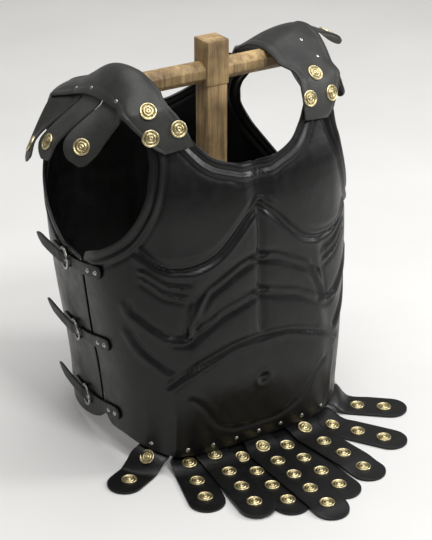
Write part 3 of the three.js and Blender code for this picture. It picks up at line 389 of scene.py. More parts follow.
def leather(name, light, dark, shine, grain):
    """Dyed and finished cowhide: near black, with a satin skin that is smoother where it is rubbed.
    light and dark are its tones, shine its mean roughness, grain the height of its pores."""
    m = new_material(name)
    where = add(m, "ShaderNodeTexCoord")
    in_place = [(where, "Object", "Vector")]
    cloud = add(m, "ShaderNodeTexNoise", in_place, Scale=14.0, Detail=4.0, Roughness=0.6)
    rubbed = add(m, "ShaderNodeTexNoise", in_place, Scale=60.0, Detail=5.0, Roughness=0.55)
    # pores of cowhide are about 0.5 mm apart; drawn at 1 mm so that they show
    pores = add(m, "ShaderNodeTexVoronoi", in_place, Scale=1000.0, feature="F1")
    creases = add(m, "ShaderNodeTexNoise", in_place, Scale=340.0, Detail=6.0, Roughness=0.7)
    tone = add(m, "ShaderNodeValToRGB", [(cloud, "Fac", "Fac")], stops=[(0.32, dark), (0.68, light)])
    sheen = [(0.3, shine - 0.06), (0.7, shine + 0.08)]
    gloss = add(m, "ShaderNodeValToRGB", [(rubbed, "Fac", "Fac")], stops=sheen)
    fine = add(m, "ShaderNodeBump", [(pores, "Distance", "Height")], Strength=grain, Distance=0.0002)
    over_fine = [(creases, "Fac", "Height"), (fine, "Normal", "Normal")]
    coarse = add(m, "ShaderNodeBump", over_fine, Strength=grain * 0.8, Distance=0.0004)
    over_coarse = [(cloud, "Fac", "Height"), (coarse, "Normal", "Normal")]
    wavy = add(m, "ShaderNodeBump", over_coarse, Strength=0.35, Distance=0.004)
    surface = [(tone, "Color", "Base Color"), (gloss, "Color", "Roughness"), (wavy, "Normal", "Normal")]
    skin = add(m, "ShaderNodeBsdfPrincipled", surface, IOR=1.39, Coat_Weight=0.04, Coat_Roughness=0.2)
    add(m, "ShaderNodeOutputMaterial", [(skin, "BSDF", "Surface")])
    return m


plate_leather = leather("black wet-moulded cowhide", "#0c0c0c", "#070707", 0.36, 0.20)


def shown(name, mesh_or_bm, material, slot, *nodes):
    """Makes the piece, gives it its finish, and lets it stand for its solids."""
    if isinstance(mesh_or_bm, bmesh.types.BMesh):
        mesh = bpy.data.meshes.new(name)
        mesh_or_bm.to_mesh(mesh)
        mesh_or_bm.free()
    else:
        mesh = mesh_or_bm
    thing = bpy.data.objects.new(name, mesh)
    bpy.context.scene.collection.objects.link(thing)
    mesh.materials.append(material)
    for polygon in mesh.polygons:
        polygon.use_smooth = True
    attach(thing, "root")
    if nodes:
        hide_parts(*nodes)
    return thing


def give_thickness(thing, thickness, offset, edge=0.0006):
    """Turns a sheet into leather of a real thickness with its cut edges slightly rounded."""
    wall = thing.modifiers.new("thickness", "SOLIDIFY")
    wall.thickness, wall.offset = thickness, offset
    round_off = thing.modifiers.new("cut edge", "BEVEL")
    round_off.width, round_off.segments = edge, 2
    round_off.limit_method, round_off.angle_limit = "ANGLE", math.radians(50)


def lay_grid(across, along, place):
    """A flat grid whose points are laid by place(u, v), both from 0 to 1."""
    bm = bmesh.new()
    bmesh.ops.create_grid(bm, x_segments=across, y_segments=along, size=0.5)
    uv = np.array([v.co[:2] for v in bm.verts]) + 0.5
    for vertex, p in zip(bm.verts, place(uv[:, 0], uv[:, 1])):
        vertex.co = p
    return bm


def face_out(bm, outwards):
    """Points an open sheet's faces outwards, which is where the sum of outwards(face) is above 0."""
    bmesh.ops.recalc_face_normals(bm, faces=bm.faces)
    if sum(outwards(f) for f in bm.faces) < 0:
        bmesh.ops.reverse_faces(bm, faces=bm.faces)


def from_axis(face):
    """How far a face looks away from the axis of the body."""
    middle = face.calc_center_median()
    return face.normal.dot(Vector((middle.x, middle.y - SEAM_Y, 0))) * face.calc_area()


def plate_half(rows, rim, front, u, v):
    """Points of a plate's right half."""
    angle, z = plate_place(rows, rim, u, v, front)
    off = muscle_form(angle, z) + tooled_lines(angle, z) if front else back_lines(angle, z)
    return body(angle, z, off)


def plate(name, node, across, along, rows, rim, front):
    """A whole plate: one half is laid and mirrored, and its thickness goes inwards."""
    bm = lay_grid(across, along, lambda u, v: plate_half(rows, rim, front, u, v))
    bmesh.ops.mirror(bm, geom=bm.verts[:] + bm.edges[:] + bm.faces[:], merge_dist=1e-5, axis="X")
    face_out(bm, from_axis)
    hide = shown(name, bm, plate_leather, "black_leather", node)
    give_thickness(hide, PLATE_THICKNESS, -1)


plate("front_plate_leather", "front_plate", 112, 176, FRONT_ROWS, FRONT_RIM, True)


# The back plate
# The same leather, pressed over a plainer form. Its neck and armholes are
# tooled with a double roll as the front's are, but a shallower one.
BACK_ROWS = [
    (180, 0.008, 90, 0.080, 3), (180, 0.120, 90, 0.160, 4), (180, 0.320, 90, 0.345, 3),
    (180, 0.480, 90, 0.520, 1), (180, 0.510, 96, 0.536, 1), (180, 0.540, 104, 0.538, 1),
    (180, 0.580, 113, 0.564, 1), (180, 0.620, 124, 0.612, 1), (180, 0.665, 132, 0.666, 1),
    (180, 0.705, 136, 0.722, 1), (180, 0.740, 136, 0.750, 1), (166, 0.748, 135, 0.776, 1),
    (156, 0.772, 133, 0.798, 1), (149, 0.806, 131, 0.818, 1), (143.5, 0.846, 129.8, 0.836, 1),
    (139.5, 0.880, 129, 0.852, 0),
]
BACK_RIM = [(90, 0.080), (95, 0.056), (105, 0.032), (120, 0.014), (135, 0.009), (180, 0.008)]
BACK_NECK = [(180, 370), (166, 374), (156, 386), (149, 403), (143.5, 423), (139.5, 440), (136, 462)]
BACK_ARMHOLE = [
    (84, 262), (96, 268), (104, 269), (113, 282), (124, 306), (132, 333), (136, 361),
    (136, 375), (135, 388), (133, 399), (131, 409), (129, 426), (128, 445),
]
BACK_ROLLS = ((3.5, 0.9, 3.6), (9.5, -1.2, 2.2), (14.5, 1.3, 3.0), (20.0, -0.9, 3.0))


def back_lines(angle, z):
    """Height of the back's rolls, spine and shoulder blades, in metres."""
    points = body(angle, z)
    out = np.zeros(len(points))
    for edge in (BACK_NECK, BACK_ARMHOLE):
        d = off_line(points, edge)[0]
        for off, high, wide in BACK_ROLLS:
            out += high * np.exp(-((d - off) / wide) ** 2)
    spine = np.abs(points[:, 0]) * 1000
    out += -2.2 * np.exp(-(spine / 9) ** 2) * ease((z - 0.05) / 0.08) * (1 - ease((z - 0.30) / 0.06))
    blade = np.exp(-(((180 - angle) - 24) / 13) ** 2 - ((z - 0.300) / 0.055) ** 2)
    return (out + 3.0 * blade) / 1000


plate("back_plate_leather", "back_plate", 72, 140, BACK_ROWS, BACK_RIM, False)


# The skirt strips
# Nine straps of thick cowhide, cut with round ends, riveted inside the front
# rim by one small dome each. They turn under the rim and lie on the floor,
# odd ones over even ones, each with a row of brass rosettes riveted through.
STRIP_WIDTH, STRIP_THICKNESS, STRIP_PITCH, STRIP_END = 0.046, 0.0024, 0.036, 0.031
STRIP_ROOT, STRIP_LANDING = 0.024, 0.024
FRONT_Y = SEAM_Y - FRONT_DEPTH * 0.915
# rim angle, layer, first stud x and y from the rim's front as shares of half the chest width,
# heading, studs, pitches that it stays up on its neighbours
STRIPS = [
    (-57.0, 0, -0.799, 0.179, -153.9, 2, 0),
    (-41.5, 1, -0.543, 0.022, -105.8, 3, 0),
    (-29.5, 0, -0.342, -0.011, -97.3, 4, 10),
    (-15.5, 1, -0.185, -0.087, -92.0, 4, 0),
    (0.0, 0, -0.011, -0.076, -90.6, 5, 4.06),
    (15.5, 1, 0.168, -0.120, -88.0, 4, 0),
    (29.5, 0, 0.375, -0.043, -82.2, 4, 2.5),
    (41.5, 1, 0.592, -0.071, -56.7, 3, 0),
    (57.0, 0, 0.913, 0.060, -40.4, 2, 0),
]
strap_leather = leather("black strap cowhide", "#101010", "#090909", 0.42, 0.40)


def smooth_path(points, count=300):
    """Dense points on a smooth curve through a few, and their distances along it."""
    p = [np.asarray(q, float) for q in points]
    p = [2 * p[0] - p[1]] + p + [2 * p[-1] - p[-2]]
    out = []
    each = max(2, count // (len(p) - 3))
    for i in range(1, len(p) - 2):
        x0, x1, x2, x3 = p[i - 1:i + 3]
        d0, d1, d2 = (max(np.linalg.norm(b - a), 1e-7) ** 0.5 for a, b in ((x0, x1), (x1, x2), (x2, x3)))
        t1 = ((x1 - x0) / d0 - (x2 - x0) / (d0 + d1) + (x2 - x1) / d1) * d1
        t2 = ((x2 - x1) / d1 - (x3 - x1) / (d1 + d2) + (x3 - x2) / d2) * d1
        w = np.linspace(0, 1, each, endpoint=False)[:, None]
        square, cube = -3 * x1 + 3 * x2 - 2 * t1 - t2, 2 * x1 - 2 * x2 + t1 + t2
        out.append(x1 + t1 * w + square * w ** 2 + cube * w ** 3)
    path = np.vstack(out + [p[-2][None]])
    run = np.concatenate([[0], np.cumsum(np.linalg.norm(np.diff(path, axis=0), axis=1))])
    return path, run


def on_path(path_run, distance):
    """The point at a distance along a path."""
    path, run = path_run
    return np.array([np.interp(distance, run, path[:, k]) for k in range(3)])


def strip_paths(rivet, layer, fx, fy, heading, studs, hold, columns):
    """Paths of a strip at sideways shares of its width, as dense curves up to the second stud, then
    its line on the floor and the direction of its width."""
    direction = np.array((math.cos(math.radians(heading)), math.sin(math.radians(heading)), 0))
    side = np.array((-direction[1], direction[0], 0))
    first = np.array((fx * CHEST_WIDTH / 2, FRONT_Y + fy * CHEST_WIDTH / 2, 0))

    def on_floor(d):
        up = 0
        if layer == 0 and hold > 0:
            landed = float(ease((d - hold * STRIP_PITCH) / STRIP_LANDING))
            up = (STRIP_THICKNESS + CLEAR) * (1 - landed)
        q = first + direction * d
        return np.array((q[0], q[1], STRIP_THICKNESS / 2 + up))

    base = body(rivet, 0.04 * BODY_HEIGHT)
    radius = math.hypot(base[0], base[1] - SEAM_Y)
    step = layer * (STRIP_THICKNESS + CLEAR)
    paths = []
    for share in columns:
        w = share * STRIP_WIDTH
        angle = rivet + math.degrees(w / radius) * 0.9
        rim = float(read(FRONT_RIM, abs(angle), 1)) * BODY_HEIGHT
        inside = -(PLATE_THICKNESS + CLEAR + STRIP_THICKNESS / 2) - 0.0004 - step * 1.4
        wall = lambda off, z: body(angle, max(z, STRIP_THICKNESS / 2), off)
        points = [
            wall(inside, rim + STRIP_ROOT),
            wall(inside, rim + STRIP_ROOT * 0.4),
            wall(inside - 0.0005, rim),
            wall(inside + 0.0008, rim - 0.0038 - step),
            wall(-0.0005, rim - 0.0052 - step * 1.35),
        ]
        last = points[-1]
        start = direction @ (last - on_floor(0) - side * w)
        drift = side @ (last - on_floor(0) - side * w)
        for k in (0.3, 0.65, 1):
            q = on_floor(start + STRIP_LANDING * k) + side * w + side * drift * (1 - k) ** 1.5
            q[2] = last[2] + (q[2] - last[2]) * float(ease(k))
            points.append(q)
        reach = start + STRIP_LANDING
        points += [on_floor(reach + (STRIP_PITCH - reach) * 0.6) + side * w, on_floor(STRIP_PITCH) + side * w]
        paths.append(smooth_path(points))
    return paths, on_floor, side


def stud_place(index):
    """Top centres and normals of a strip's studs."""
    row = STRIPS[index]
    paths, on_floor, side = strip_paths(*row, [0])
    out = []
    for k in range(row[5]):
        at, normal = on_floor(k * STRIP_PITCH), np.array((0.0, 0.0, 1.0))
        if k == 0:
            path = paths[0][0]
            half = len(path) // 2
            near = half + int(np.argmin(np.hypot(*(path[half:, :2] - at[:2]).T)))
            near = min(near, len(path) - 2)
            at = path[near]
            normal = np.cross(path[near + 1] - path[near - 1], side)
            normal *= np.sign(normal[2]) / np.linalg.norm(normal)
        out.append((at + normal * (STRIP_THICKNESS / 2 + 0.0002), normal))
    return out


def skirt_strip(index):
    """One strip: its root and its turn under the rim, its run on the floor, and its round end."""
    across, root, ends = 8, 30, 8
    row = STRIPS[index]
    columns = np.linspace(-0.5, 0.5, across + 1)
    paths, on_floor, side = strip_paths(*row, columns)
    run = (row[5] - 1) * STRIP_PITCH + STRIP_END
    straight = run - STRIP_WIDTH / 2
    rows = [[on_path(p, p[1][-1] * i / root) for p in paths] for i in range(root + 1)]
    flat = max(2, round((straight - STRIP_PITCH) / 0.006))
    for i in range(1, flat + 1):
        d = STRIP_PITCH + (straight - STRIP_PITCH) * i / flat
        rows.append([on_floor(d) + side * c * STRIP_WIDTH for c in columns])
    for i in range(1, ends + 1):
        a = math.radians(86) * i / ends
        middle = on_floor(straight + STRIP_WIDTH / 2 * math.sin(a))
        rows.append([middle + side * c * STRIP_WIDTH * math.cos(a) for c in columns])
    grid = np.array(rows)
    # handling leaves each strap with a slight wave along its length
    s = np.linspace(0, 1, len(rows))[:, None]
    grid[..., 2] += np.clip(s - 0.35, 0, 1) * 0.0002 * (1 + np.sin(s * 17 + index * 2.1))
    last = len(rows) - 1

    def place(u, v):
        return grid[np.rint(v * last).astype(int), np.rint(u * across).astype(int)]

    bm = lay_grid(across, last, place)
    # only the part that lies on the floor looks up
    face_out(bm, lambda f: f.normal.z if f.calc_center_median().z < 0.006 else 0)
    node = f"skirt_strip_{index + 1}"
    strip = shown(f"skirt_strip_leather_{index + 1}", bm, strap_leather, "strap_leather", node)
    give_thickness(strip, STRIP_THICKNESS, 0, 0.0005)


for index in range(9):
    skirt_strip(index)


# Brass rosettes
# Spun and die-struck brass studs with a rolled rim, a round rib waved by a ring
# of small petals, and a dimpled boss, lightly tarnished in the hollows. Each is
# riveted through the leather.
brass = new_material("struck yellow brass")
where = add(brass, "ShaderNodeTexCoord")
tarnish = add(brass, "ShaderNodeTexNoise", [(where, "Object", "Vector")], Scale=420.0, Detail=4.0)
hollow = add(brass, "ShaderNodeAttribute", attribute_name="hollow")
dirt = add(brass, "ShaderNodeMath", [(tarnish, "Fac", 0), (hollow, "Fac", 1)], operation="ADD")
clean_to_dark = [(0.45, "#ddd2aa"), (0.72, "#a8986c"), (1.0, "#4c422c")]
tone = add(brass, "ShaderNodeValToRGB", [(dirt, "Value", "Fac")], stops=clean_to_dark)
polish = add(brass, "ShaderNodeValToRGB", [(dirt, "Value", "Fac")], stops=[(0.4, 0.32), (1.0, 0.55)])
surface = [(tone, "Color", "Base Color"), (polish, "Color", "Roughness")]
skin = add(brass, "ShaderNodeBsdfPrincipled", surface, Metallic=1.0)
add(brass, "ShaderNodeOutputMaterial", [(skin, "BSDF", "Surface")])

STUD_RADIUS, STUD_HEIGHT = 0.0096, 0.0024
SKIRT_STUD, SHOULDER_STUD = 1.02, 1.07
# the section from the rim to the middle, as shares of the radius and the height
ROSETTE = [
    (1.00, -0.18), (1.00, 0.32), (0.96, 0.58), (0.89, 0.68), (0.82, 0.58), (0.77, 0.30),
    (0.69, 0.22), (0.63, 0.34), (0.57, 0.66), (0.49, 0.80), (0.41, 0.66), (0.36, 0.42),
    (0.30, 0.62), (0.21, 0.98), (0.12, 0.98), (0.06, 0.74), (0.0, 0.66),
]
# how dark the tarnish is at shares of the radius
TARNISH = [
    (0, 0.2), (0.1, 0.1), (0.2, 0), (0.36, 0.3), (0.46, 0.02),
    (0.56, 0.05), (0.70, 0.38), (0.80, 0.08), (1, 0),
]
PETALS, PETAL_HEIGHT = 12, 0.00012


def upright_to(at, normal):
    """The turn and the shift that take a piece from the origin to its place."""
    turn_to = Vector((0, 0, 1)).rotation_difference(Vector(normal)).to_matrix().to_4x4()
    return Matrix.Translation(Vector(at)) @ turn_to


def rosettes(name, places, size):
    """One mesh of studs, each spun from its section and set on the leather."""
    bm = bmesh.new()
    dark = bm.verts.layers.float.new("hollow")
    for at, normal in places:
        one = [bm.verts.new((r * STUD_RADIUS * size, 0, z * STUD_HEIGHT)) for r, z in ROSETTE]
        edges = [bm.edges.new(pair) for pair in zip(one, one[1:])]
        bmesh.ops.spin(bm, geom=one + edges, cent=(0, 0, 0), axis=(0, 0, 1),
                       angle=2 * math.pi, steps=32, use_merge=True)
        new = [v for v in bm.verts if not v.tag]
        for v in new:
            r, a = math.hypot(v.co.x, v.co.y) / STUD_RADIUS / size, math.atan2(v.co.y, v.co.x)
            v[dark] = float(np.interp(r, *zip(*TARNISH)))
            if 0.48 < r < 0.70:
                v.co.z += PETAL_HEIGHT * math.cos(a * PETALS)
                v[dark] += 0.05 * (0.5 - 0.5 * math.cos(a * PETALS))
        bmesh.ops.transform(bm, matrix=upright_to(at, normal), verts=new)
        for v in new:
            v.tag = True
    bmesh.ops.remove_doubles(bm, verts=bm.verts, dist=1e-6)
    bmesh.ops.recalc_face_normals(bm, faces=bm.faces)
    shown(name, bm, brass, "strap_leather")


rosettes("skirt_studs", [place for index in range(9) for place in stud_place(index)], SKIRT_STUD)


# Small rivets
# Nickel-plated dome rivets, peened through both leathers: one for each skirt
# strip along the rim, and others on the shoulder straps and the side straps.
nickel = new_material("nickel plate on steel wire")
where = add(nickel, "ShaderNodeTexCoord")
scuff = add(nickel, "ShaderNodeTexNoise", [(where, "Object", "Vector")], Scale=500.0, Detail=5.0)
tone = add(nickel, "ShaderNodeValToRGB", [(scuff, "Fac", "Fac")], stops=[(0.35, "#8f8d88"), (0.7, "#c9c7c1")])
polish = add(nickel, "ShaderNodeValToRGB", [(scuff, "Fac", "Fac")], stops=[(0.3, 0.20), (0.8, 0.42)])
surface = [(tone, "Color", "Base Color"), (polish, "Color", "Roughness")]
skin = add(nickel, "ShaderNodeBsdfPrincipled", surface, Metallic=1.0)
add(nickel, "ShaderNodeOutputMaterial", [(skin, "BSDF", "Surface")])


def rivets(name, places, radius, height):
    """One mesh of dome rivets, each a flattened ball half sunk in the leather."""
    bm = bmesh.new()
    for at, normal in places:
        ball = bmesh.ops.create_uvsphere(bm, u_segments=16, v_segments=10, radius=1.0)["verts"]
        bmesh.ops.scale(bm, vec=(radius, radius, height), verts=ball)
        bmesh.ops.transform(bm, matrix=upright_to(at, normal), verts=ball)
    shown(name, bm, nickel, "nickel")


def plate_normal(angle, z, off):
    """A place on the front plate and the normal there."""
    here = body(angle, z, off)
    du, dz = body(angle + 0.5, z, off) - here, body(angle, z + 0.001, off) - here
    n = np.cross(du, dz)
    return here, n / np.linalg.norm(n)


ABOVE_RIM = 0.0095
rim_rivets = []
for row in STRIPS:
    z = float(read(FRONT_RIM, abs(row[0]), 1)) * BODY_HEIGHT + ABOVE_RIM
    angles, heights = np.array([row[0]]), np.array([z])
    off = float((muscle_form(angles, heights) + tooled_lines(angles, heights))[0])
    rim_rivets.append(plate_normal(row[0], z, off))
rivets("rim_rivets", rim_rivets, radius=0.0030, height=0.0018)


# The shoulder straps
# Broad moulded yokes that go over the shoulders from the back plate to the
# front, where brass rosettes fix them. They rest on the crossbar and carry the
# whole armour. Their black dye is rubbed grey, and their colour is also painted
# lighter, as painted light from above on their tops.
BAR_HEIGHT, BAR_THICKNESS = 0.4766, 0.025
STRAP_THICKNESS, STRAP_CROWN, STRAP_SLIP, STRAP_FLARE = 0.0025, 0.020, 0.014, 0.038
STRAP_TOP = BAR_HEIGHT + BAR_THICKNESS / 2 + STRAP_THICKNESS + CLEAR
# share of the length, inner edge x, y, z, outer edge x, y, z, then shares of the
# crown, slip and flare
STRAP_ROWS = [
    (0.00, 0.429, -0.449, 0.861, 0.625, -0.430, 0.852, 0.00, 0.00, 0.00),
    (0.07, 0.435, -0.402, 0.900, 0.700, -0.395, 0.872, 0.00, 0.15, 0.00),
    (0.15, 0.446, -0.330, 0.944, 0.768, -0.322, 0.910, 0.15, 0.50, 0.00),
    (0.24, 0.457, -0.215, 0.977, 0.804, -0.235, 0.938, 0.55, 0.80, 0.15),
    (0.33, 0.467, -0.075, 0.998, 0.815, -0.090, 0.949, 0.95, 1.00, 0.75),
    (0.41, 0.473, 0.040, 1.000, 0.818, 0.040, 0.950, 1.00, 1.00, 1.00),
    (0.50, 0.478, 0.175, 0.989, 0.818, 0.185, 0.943, 0.95, 0.90, 1.00),
    (0.62, 0.489, 0.333, 0.963, 0.817, 0.345, 0.925, 0.70, 0.60, 0.45),
    (0.75, 0.522, 0.490, 0.937, 0.812, 0.495, 0.901, 0.45, 0.20, 0.05),
    (0.88, 0.573, 0.620, 0.910, 0.800, 0.605, 0.872, 0.15, 0.00, 0.00),
    (1.00, 0.603, 0.700, 0.876, 0.765, 0.680, 0.838, 0.00, 0.00, 0.00),
]
# wear has left this hide greyer and duller than the plates, with a coarser grain;
# its grey is also painted lighter, to stand in for the light from above on the tops
yoke_leather_worn_and_painted_light = leather("black yoke cowhide, rubbed grey and painted lighter", "#3a3a38", "#1e1e1e", 0.46, 0.60)


def lie_outside(p, off, top):
    """Lifts points off the plates they lie on; the hold ends above a height."""
    angle = np.degrees(np.arctan2(p[:, 0], SEAM_Y - p[:, 1]))
    relief = np.where(np.abs(angle) < 90, muscle_form(angle, p[:, 2]) + 0.0012, 0.0010)
    q = body(angle, p[:, 2], off + relief)
    rp, rq = np.hypot(p[:, 0], p[:, 1] - SEAM_Y), np.hypot(q[:, 0], q[:, 1] - SEAM_Y)
    hold = 1 - ease((p[:, 2] - top) / (0.044 * BODY_HEIGHT))
    k = np.where(rp < rq, 1 + (rq / np.maximum(rp, 1e-6) - 1) * hold, 1)
    return np.column_stack([p[:, 0] * k, SEAM_Y + (p[:, 1] - SEAM_Y) * k, p[:, 2]])


def strap_point(flank, s, t):
    """Middle of a strap's leather drawn on the left, s from front to back and t from neck to shoulder.
    flank is 1 for the left strap and -1 for the right one."""
    s, t = np.broadcast_arrays(np.asarray(s, float).ravel(), np.asarray(t, float).ravel())
    column = [read(STRAP_ROWS, s, k) for k in range(1, 10)]
    flare = column[8] if flank > 0 else 0 * s
    half = CHEST_WIDTH / 2
    inner_x = column[0] * half - flank * STRAP_SLIP * column[7]
    outer_z = column[5] * STRAP_TOP + flare * STRAP_FLARE
    inner = np.stack([inner_x, column[1] * BACK_DEPTH, column[2] * STRAP_TOP], -1)
    outer = np.stack([column[3] * half, column[4] * BACK_DEPTH, outer_z], -1)
    p = inner + (outer - inner) * t[:, None]
    p[:, 2] += STRAP_CROWN * column[6] * (1 - 0.6 * flare) * 4 * t * (1 - t) - STRAP_THICKNESS / 2
    # the hold on the plates fades in over a short way so that it leaves no kink
    off = CLEAR + STRAP_THICKNESS / 2 + 0.0003
    for share, top in ((1 - ease((s - 0.20) / 0.08), 0.925), (ease((s - 0.66) / 0.08), 0.885)):
        held = share > 0
        if held.any():
            p[held] += (lie_outside(p[held], off, top * BODY_HEIGHT) - p[held]) * share[held][:, None]
    return p


def strap_normal(flank, s, t):
    """The direction out of a strap's leather at a place."""
    e = 0.01
    along = strap_point(flank, min(s + e, 1), t)[0] - strap_point(flank, max(s - e, 0), t)[0]
    over = strap_point(flank, s, min(t + e, 1))[0] - strap_point(flank, s, max(t - e, 0))[0]
    n = np.cross(along, over)
    return n * (np.sign(n[2]) / np.linalg.norm(n))


def strap_sheet(flank, name):
    """One shoulder strap, with its pressed edges and the waves that wear has left in it."""
    def place(u, v):
        p = strap_point(flank, v, u)
        # one roll pressed along both long edges, fading at the ends
        edge = np.minimum(u, 1 - u) * 0.06
        fade = ease(v / 0.05) * ease((1 - v) / 0.05)
        groove = 0.0007 * np.exp(-((edge - 0.0066) / 0.0014) ** 2)
        p[:, 2] += (0.0009 * np.exp(-((edge - 0.0030) / 0.0016) ** 2) - groove) * fade
        # the leather buckles a little where it leaves the front plate and over the bar's end
        p[:, 2] += 0.0016 * np.exp(-((v - 0.20) / 0.03) ** 2) * np.sin(u * 7.0 + 0.6)
        p[:, 2] -= 0.0012 * np.exp(-((v - 0.255) / 0.025) ** 2) * np.sin(u * 6.0 + 1.0)
        return p * (flank, 1, 1)

    bm = lay_grid(36, 150, place)
    face_out(bm, lambda f: f.normal.z * f.calc_area())
    node = f"shoulder_strap_{name}"
    strap = shown(f"shoulder_strap_leather_{name}", bm, yoke_leather_worn_and_painted_light, "strap_leather", node)
    give_thickness(strap, STRAP_THICKNESS, 0, 0.0007)


strap_sheet(1, "left")
strap_sheet(-1, "right")

# Three studs fix each strap to the front plate. Small rivets hold the tabs under
# the straps, and the straps' hidden ends to the back plate. Both as shares of
# the length and width, for the left strap (1) and the right one (-1).
STRAP_STUDS = [
    (1, [(0.185, 0.38), (0.0925, 0.17), (0.12, 0.78)]),
    (-1, [(0.178, 0.48), (0.085, 0.15), (0.10, 0.84)]),
]
STRAP_RIVETS = [
    (1, [(0.31, 0.56), (0.2525, 0.72), (0.655, 0.90), (0.94, 0.25), (0.94, 0.75)]),
    (-1, [(0.30, 0.92), (0.485, 0.92), (0.655, 0.90), (0.94, 0.25), (0.94, 0.75)]),
]


def on_straps(table, lift):
    """Places at a height over the middle of the straps' leather, with their normals."""
    out = []
    for flank, shares in table:
        for s, t in shares:
            n = strap_normal(flank, s, t)
            out.append(((strap_point(flank, s, t)[0] + n * lift) * (flank, 1, 1), n * (flank, 1, 1)))
    return out


rosettes("shoulder_studs", on_straps(STRAP_STUDS, STRAP_THICKNESS / 2 + 0.0003), SHOULDER_STUD)
rivets("strap_rivets", on_straps(STRAP_RIVETS, STRAP_THICKNESS / 2), radius=0.0026, height=0.0014)


# The shoulder tabs
# Three short straps under the outer edge of each yoke, cut from the same hide,
# rubbed grey and painted lighter for the light from above, and riveted up
# through it. Each has one rosette near its rounded free end, and the left front
# and middle ones have sprung up.
TAB_WIDTH, TAB_THICKNESS, TAB_REACH, TAB_TUCK, TAB_SEAT = 0.044, 0.0024, 0.100, 0.016, 0.0005
# distance of the stud's middle from the tip
TAB_STUD = 0.024
# flank, place, share of the strap, then the offsets from its edge to the stud
# and to the tip (out, back, up) as shares of the reach, and the free end's turn
TABS = [
    (-1, "front", 0.315, (0.42, 0.03, -0.47), (0.47, -0.02, -0.65), 35),
    (-1, "middle", 0.485, (0.49, 0.16, -0.54), (0.56, 0.22, -0.77), 0),
    (-1, "rear", 0.660, (0.51, 0.15, -0.58), (0.58, 0.18, -0.81), -35),
    (1, "front", 0.270, (0.16, 0.04, -0.32), (0.21, 0.06, -0.55), 0),
    (1, "middle", 0.455, (0.38, 0.00, -0.20), (0.52, -0.02, -0.35), 0),
    (1, "rear", 0.670, (0.50, 0.14, -0.56), (0.57, 0.17, -0.79), 0),
]


def strap_run(flank):
    """Length of a strap's outer edge."""
    edge_line = strap_point(flank, np.linspace(0, 1, 41), np.ones(41))
    return float(np.linalg.norm(np.diff(edge_line, axis=0), axis=1).sum())


def shoulder_tab(flank, place_name, share, to_stud, to_tip, turn_by):
    """One tab. Gives the top centre and normal of its stud."""
    drop = STRAP_THICKNESS / 2 + CLEAR + TAB_THICKNESS / 2 + TAB_SEAT
    edge = strap_point(flank, share, 1)[0]
    tuck = TAB_TUCK / np.linalg.norm(strap_point(flank, share, 0)[0] - edge)
    across = strap_point(flank, share + 0.03, 1)[0] - strap_point(flank, share - 0.03, 1)[0]
    across /= np.linalg.norm(across)
    twist = Matrix.Rotation(math.radians(turn_by), 3, Vector(to_tip).normalized())
    turned = np.array(twist @ Vector(across))
    reach = strap_run(flank)

    def column(w):
        s = share + w / reach
        shares = (1 - tuck, 1 - tuck / 2, 1)
        under = [strap_point(flank, s, t)[0] - strap_normal(flank, s, t) * drop for t in shares]
        ahead = under[2] - under[1]
        points = under + [under[2] + ahead / np.linalg.norm(ahead) * TAB_TUCK * 0.3]
        for offset in (to_stud, to_tip):
            points.append(edge + np.array(offset) * TAB_REACH + turned * w)
        return smooth_path(points)

    # lanes run side by side and end on a half circle
    middle = column(0)
    length = middle[1][-1]
    ahead = np.array(to_tip) - np.array(to_stud)
    slant = float(turned @ ahead) / np.linalg.norm(ahead)
    lanes, rows = 12, 36
    grid = np.empty((rows + 1, lanes + 1, 3))
    for j in range(lanes + 1):
        a = math.pi * (j / lanes - 0.5)
        w = math.sin(a) * TAB_WIDTH / 2
        lane = column(w)
        end = lane[1][-1] - slant * w - TAB_WIDTH / 2 * (1 - math.cos(a))
        for i in range(rows + 1):
            grid[i, j] = on_path(lane, end * i / rows)
    grid[..., 0] *= flank

    def place(u, v):
        return grid[np.rint(v * rows).astype(int), np.rint(u * lanes).astype(int)]

    bm = lay_grid(lanes, rows, place)
    face_out(bm, lambda f: (f.normal.z + f.normal.x * flank) * f.calc_area())
    which = f"{'left' if flank > 0 else 'right'}_{place_name}"
    node = f"shoulder_tab_{which}"
    tab = shown(f"shoulder_tab_leather_{which}", bm, yoke_leather_worn_and_painted_light, "strap_leather", node)
    give_thickness(tab, TAB_THICKNESS, 0, 0.0005)
    here = on_path(middle, length - TAB_STUD)
    onwards = on_path(middle, length - TAB_STUD + 0.004) - on_path(middle, length - TAB_STUD - 0.004)
    n = np.cross(onwards, turned)
    n *= np.sign(n[2] + n[0]) / np.linalg.norm(n)
    return (here + n * TAB_THICKNESS / 2) * (flank, 1, 1), n * (flank, 1, 1)


rosettes("tab_studs", [shoulder_tab(*row) for row in TABS], SHOULDER_STUD)


# The side straps
# Three billets a side close the armour. Each is cut from strap leather and
# fixed to the front plate by two nickel rivets. It runs back over the open
# seam, through a buckle on the back plate, and its pointed tip stands away.
BILLET_WIDTH, BILLET_THICKNESS, CHAPE_LENGTH, CHAPE_THICKNESS = 0.018, 0.0025, 0.030, 0.0016
BUCKLE_HEIGHT, BUCKLE_WIDTH, BUCKLE_WIRE, SEAT = 0.027, 0.025, 0.0034, 0.0003
BILLET_FRONT, BUCKLE_BACK, TIP_BACK, TIP_LIFT = 0.043, 0.042, 0.098, 0.009
# place, then shares of the height at the front end, at the buckle and at the tip
SIDE_ROWS = [("top", 0.524, 0.500, 0.524), ("middle", 0.322, 0.292, 0.330), ("bottom", 0.118, 0.094, 0.132)]
